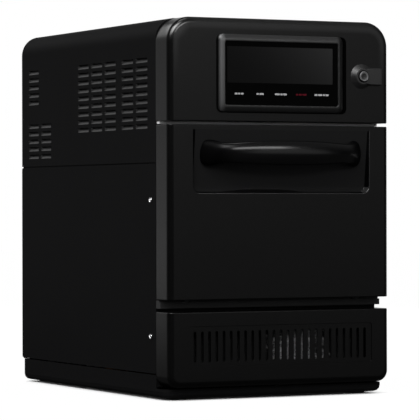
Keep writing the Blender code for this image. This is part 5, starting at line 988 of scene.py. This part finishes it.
class OVEN_OT_power_button(bpy.types.Operator):
    """Build the power button: its ring in the head and the cap that travels"""

    bl_idname = "oven.power_button"
    bl_label = "Power button"

    def execute(self, context):
        face, end = HOUSING_LOW.y - FRONT, (HOUSING_HIGH.y - HOUSING_LOW.y) / MILLIMETRE
        groove = ((9.6, 4.0), (9.6, 1.8), (9.4, 1.4), (9.1, 1.6), (8.8, 3.0), (8.2, 3.0), (8.0, 0.8))
        flange = ((8.0, 0.8), (7.8, 0.3), (7.5, 0), (6.7, 0), (6.4, 0.3), (6.3, 0.8))
        shape = bmesh.new()
        ring(shape, face, groove)
        ring(shape, face, flange, 1)
        ring(shape, face, ((6.3, 0.8), (6.3, 9.3)), 1)
        ring(shape, face, ((9.6, 4.0), (8.1, 4.0), (8.1, end), (0.1, end)))
        finishes, crease = ("gloss_black", "ring_metal", "boss_satin"), 50.0
        piece("button_ring", shape, "casing", finishes, ("power_button_housing",), crease)

        face, end = CAP_LOW.y - FRONT, (CAP_HIGH.y - CAP_LOW.y) / MILLIMETRE
        shape = bmesh.new()
        ring(shape, face, ((6.0, 9.0), (6.0, 0.4), (5.8, 0), (5.1, 0)), 1)
        ring(shape, face, ((5.1, 0), (4.9, 0.5), (3.0, 0.8), (0.2, 0.9)), 2)
        ring(shape, face, ((6.0, 9.0), (3.0, 9.0), (3.0, end), (0.1, end)))
        piece("button_cap", shape, "power_button", finishes, ("power_button_cap",), crease)
        return {"FINISHED"}


class OVEN_OT_door_shell(bpy.types.Operator):
    """Build the door's outer shell with the scooped recess behind the handle"""

    bl_idname = "oven.door_shell"
    bl_label = "Door shell"

    # The recess's outline on the face
    left = HANDLE_MIDDLE - 0.159
    right = HANDLE_MIDDLE + 0.159
    low = 0.3232
    high = 0.424
    corner = 0.014
    # Its walls: how far in the floor starts, and how wide they are at the sides and below, with a bow
    floor_start = 0.0132
    side_wall = 0.0035
    ledge = 0.0024
    bow = 0.0046
    bow_centre = -0.029
    bow_half = 0.074
    wall_shares = (0.12, 0.3, 0.5, 0.7, 0.85, 0.94, 0.98, 1.0)
    # Steps round its edge, its corners and along its ledge, the station where its gloss gives way to a
    # painted highlight, and the span of a painted glint on its lower right wall
    edge_steps = 4
    corner_steps = 18
    ledge_steps = 40
    gloss_end = 18
    worn_spot = (66, 78)
    # Middle and width of the notches for the hinge's arms
    arm_place = 0.1525
    arm_slot = 0.009

    def stations(self):
        """Outline down, across and up, as (x, z, inward x, inward z, share of the ledge)."""
        left, right, low, corner, steps = self.left, self.right, self.low, self.corner, self.corner_steps
        rise = self.high - low - corner
        spots = [(left, self.high - rise * t, 1, 0, 0) for t in (0, 0.1, 0.25, 0.5, 0.75)]
        for x, start in ((left + corner, 180), (right - corner, 270)):
            for i, (out_x, out_z) in enumerate(arc((0, 0), 1, steps, start, start + 90)):
                share = i / steps if start == 180 else 1 - i / steps
                spots.append((x + corner * out_x, low + corner + corner * out_z, -out_x, -out_z, share))
            if start == 180:
                span = right - left - 2 * corner
                count = self.ledge_steps
                spots += [(x + span * t / count, low, 0, 1, 1) for t in range(1, count)]
        return spots + [(right, low + corner + rise * t, -1, 0, 0) for t in (0.25, 0.5, 0.75, 0.9, 1)]

    def recess(self, shape, sizes):
        """The recess's walls and sloping floor. Gives its outline on the front face."""
        edge_round = sizes.recess_edge
        rows = []
        for x, z, in_x, in_z, share in self.stations():
            bowed = max(0.0, 1 - ((x - self.bow_centre) / self.bow_half) ** 2)
            wall = self.side_wall + (self.ledge + self.bow * bowed - self.side_wall) * share
            # How far in a point lies, how far round the edge it is, and how far down the wall
            edge_turns = turning(self.edge_steps, 0, 90)
            offsets = [(edge_round * math.sin(a), 1 - math.cos(a), 0) for a in edge_turns]
            offsets += [(edge_round + wall * t, 1, 1 - (1 - t) ** 1.3) for t in self.wall_shares]
            offsets += [(self.floor_start, 1, 1)]
            row = []
            for offset, turned, sunk in offsets:
                px, pz = x + in_x * offset, z + in_z * offset
                floor = sizes.recess_depth * min(1.0, (self.high - pz) / (self.high - self.low - 0.016))
                edge = min(edge_round, floor * 0.35) * turned
                row.append((px, edge + (floor - edge) * sunk, pz))
            rows.append(turned_in(row))
        roll = self.edge_steps + 1
        # Gloss on the left of the edge's roll, then a painted highlight along its lower and right parts; the
        # walls carry a painted glint at the lower right corner
        strip(shape, [row[:roll] for row in rows[: self.gloss_end + 1]], 3)
        strip(shape, [row[:roll] for row in rows[self.gloss_end :]], 2)
        first, last = self.worn_spot
        for part, finish in ((rows[: first + 1], 3), (rows[first : last + 1], 2), (rows[last:], 3)):
            strip(shape, [row[roll - 1 : -1] for row in part], finish)
        strip(shape, [row[-2:] for row in rows], 1)
        sheet_face(shape, [row[-1] for row in rows], 1)
        return [row[0] for row in rows]

    def execute(self, context):
        sizes = context.scene.oven_sizes
        bottom, top = SHELL_LOW.z, SHELL_HIGH.z
        shape = bmesh.new()
        for side in (-1, 1):
            stations = side_lips(sizes, side, bottom, 1) + side_lips(sizes, side, top, -1)[::-1]
            rim(shape, sizes, stations, DOOR_DEPTH)
        notches = [(side * self.arm_place, self.arm_slot, sizes.wall) for side in (-1, 1)]
        lip(shape, sizes, bottom, 1, DOOR_DEPTH, notches)
        lip(shape, sizes, top, -1, DOOR_DEPTH)
        reach = HALF_WIDTH - sizes.rim_round
        low, high = bottom + sizes.lip_round, top - sizes.lip_round
        face = flat([(-reach, low), (reach, low), (reach, high), (-reach, high)], 0)
        fill(shape, [face, self.recess(shape, sizes)])
        finishes = ("moulded_black", "recess_black", "worn_edge", "gloss_black")
        piece("door_moulding", shape, "door", finishes, ("door_shell",))
        return {"FINISHED"}


class OVEN_OT_door_handle(bpy.types.Operator):
    """Build the arched handle as one smooth loft"""

    bl_idname = "oven.door_handle"
    bl_label = "Door handle"

    middle_z = 0.3876
    half_span = 0.1445
    reach = 0.036
    half_height = 0.0206
    squareness = 0.95

    # Distance from the middle as a share of the half span, front and back as shares of the reach, and
    # half height as a share of the largest
    sections = (
        (0.00, 1.000, 0.417, 0.945),
        (0.21, 0.978, 0.405, 0.930),
        (0.415, 0.906, 0.365, 0.885),
        (0.588, 0.795, 0.285, 0.815),
        (0.692, 0.700, 0.200, 0.765),
        (0.747, 0.633, 0.130, 0.755),
        (0.782, 0.583, 0.040, 0.785),
        (0.810, 0.535, -0.110, 0.850),
        (0.844, 0.465, -0.333, 0.935),
        (0.900, 0.320, -0.333, 1.000),
        (0.955, 0.125, -0.333, 0.900),
        (0.983, -0.010, -0.333, 0.720),
        (1.000, -0.100, -0.333, 0.450),
    )

    def section_at(self, share):
        """Front, back and half height between the given sections, eased through them."""
        i = next(i for i, section in enumerate(self.sections[1:]) if share <= section[0] + WELD)
        first, second = self.sections[i : i + 2]
        before = self.sections[i - 1] if i else (-second[0], *second[1:])
        after = self.sections[min(i + 2, len(self.sections) - 1)]
        span = second[0] - first[0]
        t = (share - first[0]) / span
        values = []
        for a, b, c, d in list(zip(before, first, second, after))[1:]:
            slope_in = (c - a) / max(second[0] - before[0], WELD) * span
            slope_out = (d - b) / max(after[0] - first[0], WELD) * span
            eased = (2 * t**3 - 3 * t**2 + 1) * b + (t**3 - 2 * t**2 + t) * slope_in
            values.append(eased + (3 * t**2 - 2 * t**3) * c + (t**3 - t**2) * slope_out)
        return values

    def squared(self, value):
        """A sine or cosine, drawn a little towards the corners of its section."""
        return math.copysign(abs(value) ** self.squareness, value)

    def execute(self, context):
        shape = bmesh.new()
        rows = []
        for angle in turning(72, -90, 90):
            share = math.sin(angle)
            front, back, tall = self.section_at(abs(share))
            front, back = -front * self.reach, -back * self.reach
            x = HANDLE_MIDDLE + share * self.half_span
            row = []
            for across, along in circle((0, 0), 1):
                y = (front + back) / 2 + (back - front) / 2 * self.squared(across)
                row.append((x, y, self.middle_z + tall * self.half_height * self.squared(along)))
            rows.append(turned_in(row))
        strip(shape, rows, closed=True)
        sheet_face(shape, rows[0])
        sheet_face(shape, rows[-1])
        finishes = ("gloss_black",)
        piece("handle_arch", shape, "door", finishes, ("door_handle",), crease=60.0)
        return {"FINISHED"}


class OVEN_OT_lower_panel(bpy.types.Operator):
    """Build the lower front panel with its sunk grille field"""

    bl_idname = "oven.lower_panel"
    bl_label = "Lower front panel"

    slots = 25
    pitch = 0.0127
    slot_round = 0.0023
    slot_low = 0.060
    slot_high = 0.1075
    field = (-0.165, 0.165, 0.053, 0.116)
    slope = 0.0004
    sunk = 0.0012
    edge = 0.0004

    def slot_outline(self, middle):
        """One upright slot with round ends."""
        radius = self.slot_round
        points = arc((middle, self.slot_low + radius), radius, 8, 180, 360)
        return points + arc((middle, self.slot_high - radius), radius, 8, 0, 180)

    def execute(self, context):
        sizes = context.scene.oven_sizes
        shape = bmesh.new()
        face = end_moulding(shape, sizes, PANEL_HIGH.z, PANEL_LOW.z, sizes.panel_corner, 16)
        left, right, low, high = self.field
        slope, sunk = self.slope, self.sunk
        field = flat(rounded(*self.field, 0.004), 0)
        floor = flat(rounded(left + slope, right - slope, low + slope, high - slope, 0.004 - slope), sunk)
        fill(shape, [face, field])
        strip(shape, [field, floor], closed=True)
        loops = [floor]
        for i in range(self.slots):
            x = (i - self.slots // 2) * self.pitch
            outline = self.slot_outline(x)
            middle = Vector((x, (self.slot_low + self.slot_high) / 2))
            wide = [Vector(p) + (Vector(p) - middle).normalized() * self.edge for p in outline]
            loops.append(flat(wide, sunk))
            walls = [flat(outline, sunk + self.edge), flat(outline, sizes.wall + MILLIMETRE)]
            strip(shape, [loops[-1], *walls], 1, closed=True)
        fill(shape, loops)
        finishes = ("moulded_black", "gloss_black")
        piece("intake_moulding", shape, "casing", finishes, ("lower_front_panel",))
        return {"FINISHED"}


class OVEN_OT_side_screws(bpy.types.Operator):
    """Build the pan-head screws with their cross recesses"""

    bl_idname = "oven.side_screws"
    bl_label = "Side screws"

    def head(self, shape):
        """A domed head about its own axis, with a cross pressed into it."""
        radius, top, cross_depth, cross_width = 0.0045, 0.0024, 0.0011, 0.00055
        # Shares of the radius, with the heights there
        dome = ((1.0, 0.0003), (1.0, 0.0010), (0.94, 0.0016), (0.8, 0.0020), (0.66, 0.0022), (0.5, 0.0023))
        rows = [[(x, y, height) for x, y in circle((0, 0), radius * share)] for share, height in dome]
        for share in (0.46, 0.34, 0.2, 0.08):
            row = []
            for x, y in circle((0, 0), radius * share):
                pressed = cross_depth * max(0.0, 1 - (min(abs(x), abs(y)) / cross_width) ** 4)
                row.append((x, y, top - pressed))
            rows.append(row)
        strip(shape, rows, closed=True)
        sheet_face(shape, rows[-1])

    def execute(self, context):
        for side_name, side in (("left", -1), ("right", 1)):
            for level in ("lower", "upper"):
                node = f"{side_name}_{level}_side_screw"
                low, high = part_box(node)
                shape = bmesh.new()
                self.head(shape)
                outwards = Matrix.Rotation(math.radians(90 * side), 4, "Y")
                tightened = Matrix.Rotation(math.radians(31), 4, "Z")
                spot = Vector((side * HALF_WIDTH, (low.y + high.y) / 2, (low.z + high.z) / 2))
                shape.transform(Matrix.Translation(spot) @ outwards @ tightened)
                name = f"{side_name}_{level}_pan_head"
                piece(name, shape, "casing", ("bright_metal",), (node,), crease=40.0)
        return {"FINISHED"}


class OVEN_OT_stage(bpy.types.Operator):
    """Build the pale studio, its lamps and the camera"""

    bl_idname = "oven.stage"
    bl_label = "Studio"

    # Ways that polished surfaces are lit from, and how much light comes from within reach of each
    far_side = (0.449, 0.893, 0.0)
    reflected = (
        (far_side, ((0.94, 0.0), (0.985, 0.8))),
        ((-0.449, 0.893, 0.0), ((0.78, 0.0), (0.96, 0.25))),
        ((0.449, -0.893, 0.0), ((0.962, 0.0), (0.985, 0.43))),
        ((0.45, -0.25, 0.857), ((0.82, 0.0), (0.95, 0.10))),
        ((0.893, 0.2, 0.4), ((0.85, 0.0), (0.97, 0.04))),
        ((-0.343, -0.599, 0.724), ((0.965, 0.0), (0.99, 6.0))),
    )

    # The lamps besides their power: place, what they are aimed at, width and height
    middle = (0, 0, 0.35)
    lamps = {
        "top": ((0.0, -0.2, 2.6), middle, 1.0, 0.5),
        "streak": ((0.40, -2.28, 1.32), (0, FRONT, 0.4), 1.25, 0.42),
        "key": ((-1.9, -1.3, 2.45), middle, 1.8, 1.6),
        "rear": ((-1.0, 2.6, 1.8), middle, 1.8, 1.0),
        "fill": ((2.5, 2.3, 0.8), middle, 1.8, 1.2),
    }

    def floor(self, colours):
        """A wide pale floor that keeps the oven's shadow and stays white further off."""
        shape = bmesh.new()
        radii = (0.05, 0.4, 0.8, 1.6, 4.0, 14.0)
        rows = [[(x, y, -0.0002) for x, y in circle((0, 0), radius)] for radius in radii]
        strip(shape, rows, closed=True)
        sheet_face(shape, rows[0])
        finish = Finish(colours.floor, 0.0)
        finish.material.name = "studio_floor"
        mirrored = finish.ray("Glossy") + finish.ray("Transmission")
        shaded_middle, shaded_half = (0.0, 0.0135, 0.0), (0.19, 0.279, 0.0)
        away = finish.outside(shaded_middle, shaded_half, (1.0, 1.0, 1.0))
        open_floor = finish.steps(away * 20.0, ((0.0, 0.0), (0.10, 0.1), (0.5, 1.0)))
        finish.shades(finish.number("ADD", open_floor, mirrored, clamp=True), grey(0.012))
        finish.give("Roughness", 0.9)
        behind = finish.vector("DOT_PRODUCT", finish.place(), self.far_side)
        card = finish.steps(behind * 0.25, ((0.25, 0.02), (0.6, 0.9)))
        strength = finish.ray("Camera") * open_floor * 0.985 + mirrored * card
        glow = finish.node("ShaderNodeEmission", {}, {"Color": tinted(grey(1)), "Strength": strength})
        surface = Channel(finish, finish.shader.outputs[0])
        total = finish.node("ShaderNodeAddShader", {}, {0: surface, 1: glow})
        finish.feed(finish.tree.nodes["Material Output"].inputs["Surface"], total)
        meshed("studio_floor", shape, [finish.material])

    def world(self):
        """White where it is seen, and a dim studio with a white card behind the oven for the rest."""
        world = bpy.data.worlds.new("studio")
        bpy.context.scene.world = world
        world.use_nodes = True
        shading = Shading(world.node_tree)
        camera, gloss, clear = (shading.ray(kind) for kind in ("Camera", "Glossy", "Transmission"))
        way = shading.node("ShaderNodeTexCoord", {}, {}, "Generated")
        mirrored = 0.012
        for facing, stops in self.reflected:
            mirrored += shading.steps(shading.vector("DOT_PRODUCT", way, facing) * 0.5 + 0.5, stops)
        dome = shading.vector("DOT_PRODUCT", way, (-0.62, -0.25, 0.74))
        ambient = shading.steps(dome * 0.5 + 0.5, ((0.0, 0.12), (0.3, 0.35), (1.0, 1.45)))
        level = camera + (gloss + clear) * mirrored + (1 - camera) * (1 - gloss) * (1 - clear) * ambient
        background = world.node_tree.nodes["Background"]
        shading.feed(background.inputs["Color"], tinted(grey(1)))
        shading.feed(background.inputs["Strength"], level)

    def lamp(self, name, spot, target, width, height, power):
        """A soft rectangular lamp aimed at a place."""
        data = bpy.data.lights.new(name, "AREA")
        data.shape = "RECTANGLE"
        data.size, data.size_y = width, height
        data.energy = power
        obj = linked(name, data)
        obj.location = spot
        obj.rotation_mode = "QUATERNION"
        obj.rotation_quaternion = (Vector(target) - Vector(spot)).to_track_quat("-Z", "Y")
        obj.visible_camera = False
        return obj

    def camera(self):
        """The camera that the photograph's straight edges give."""
        focal_pixels, picture_pixels = 2707.4, 420
        yaw, pitch, roll = 0.4658, 0.0014, -0.0021
        place = (-2.0286, -4.0729, 0.3037)
        data = bpy.data.cameras.new("camera")
        data.sensor_width = 36.0
        data.lens = focal_pixels / picture_pixels * data.sensor_width
        forward = Vector((math.sin(yaw) * math.cos(pitch), math.cos(yaw) * math.cos(pitch), -math.sin(pitch)))
        right = Vector((math.cos(yaw), -math.sin(yaw), 0))
        up = right.cross(forward)
        tilted_right = right * math.cos(roll) + up * math.sin(roll)
        tilted_up = up * math.cos(roll) - right * math.sin(roll)
        turn = Matrix((tilted_right, tilted_up, -forward)).transposed().to_4x4()
        turn.translation = place
        obj = linked("camera", data)
        obj.matrix_world = turn
        bpy.context.scene.camera = obj

    def execute(self, context):
        scene = context.scene
        scene.view_settings.view_transform = "Standard"
        self.floor(scene.oven_colours)
        self.world()
        for name, place in self.lamps.items():
            lamp = self.lamp(f"{name}_lamp", *place, getattr(scene.oven_lights, name))
            # The one behind to the right would show as a white patch in every surface seen at a slant
            lamp.visible_glossy = name != "fill"
        self.camera()
        return {"FINISHED"}


STEPS = (
    OVEN_OT_packed_finishes,
    OVEN_OT_upper_cover,
    OVEN_OT_control_head,
    OVEN_OT_display,
    OVEN_OT_power_button,
    OVEN_OT_door_shell,
    OVEN_OT_door_handle,
    OVEN_OT_lower_panel,
    OVEN_OT_side_screws,
    OVEN_OT_stage,
)


class OVEN_PT_pieces(bpy.types.Panel):
    """Lists the oven's steps in the sidebar."""

    bl_idname = "OVEN_PT_pieces"
    bl_label = "Speed oven"
    bl_space_type = "VIEW_3D"
    bl_region_type = "UI"
    bl_category = "Speed oven"

    def draw(self, context):
        for step in STEPS:
            self.layout.operator(step.bl_idname)


CLASSES = (OvenSizes, OvenColours, OvenLights, *STEPS, OVEN_PT_pieces)


def register():
    """Registers the classes and hangs the settings on the scene."""
    for item in CLASSES:
        bpy.utils.register_class(item)
    bpy.types.Scene.oven_sizes = bpy.props.PointerProperty(type=OvenSizes)
    bpy.types.Scene.oven_colours = bpy.props.PointerProperty(type=OvenColours)
    bpy.types.Scene.oven_lights = bpy.props.PointerProperty(type=OvenLights)


def unregister():
    """Takes the settings and the classes away again."""
    del bpy.types.Scene.oven_lights
    del bpy.types.Scene.oven_colours
    del bpy.types.Scene.oven_sizes
    for item in reversed(CLASSES):
        bpy.utils.unregister_class(item)


def main():
    """Builds everything."""
    register()
    for step in STEPS:
        group, name = step.bl_idname.split(".")
        if getattr(getattr(bpy.ops, group), name)() != {"FINISHED"}:
            raise RuntimeError(step.bl_label + " didn't finish")


if __name__ == "__main__":
    main()
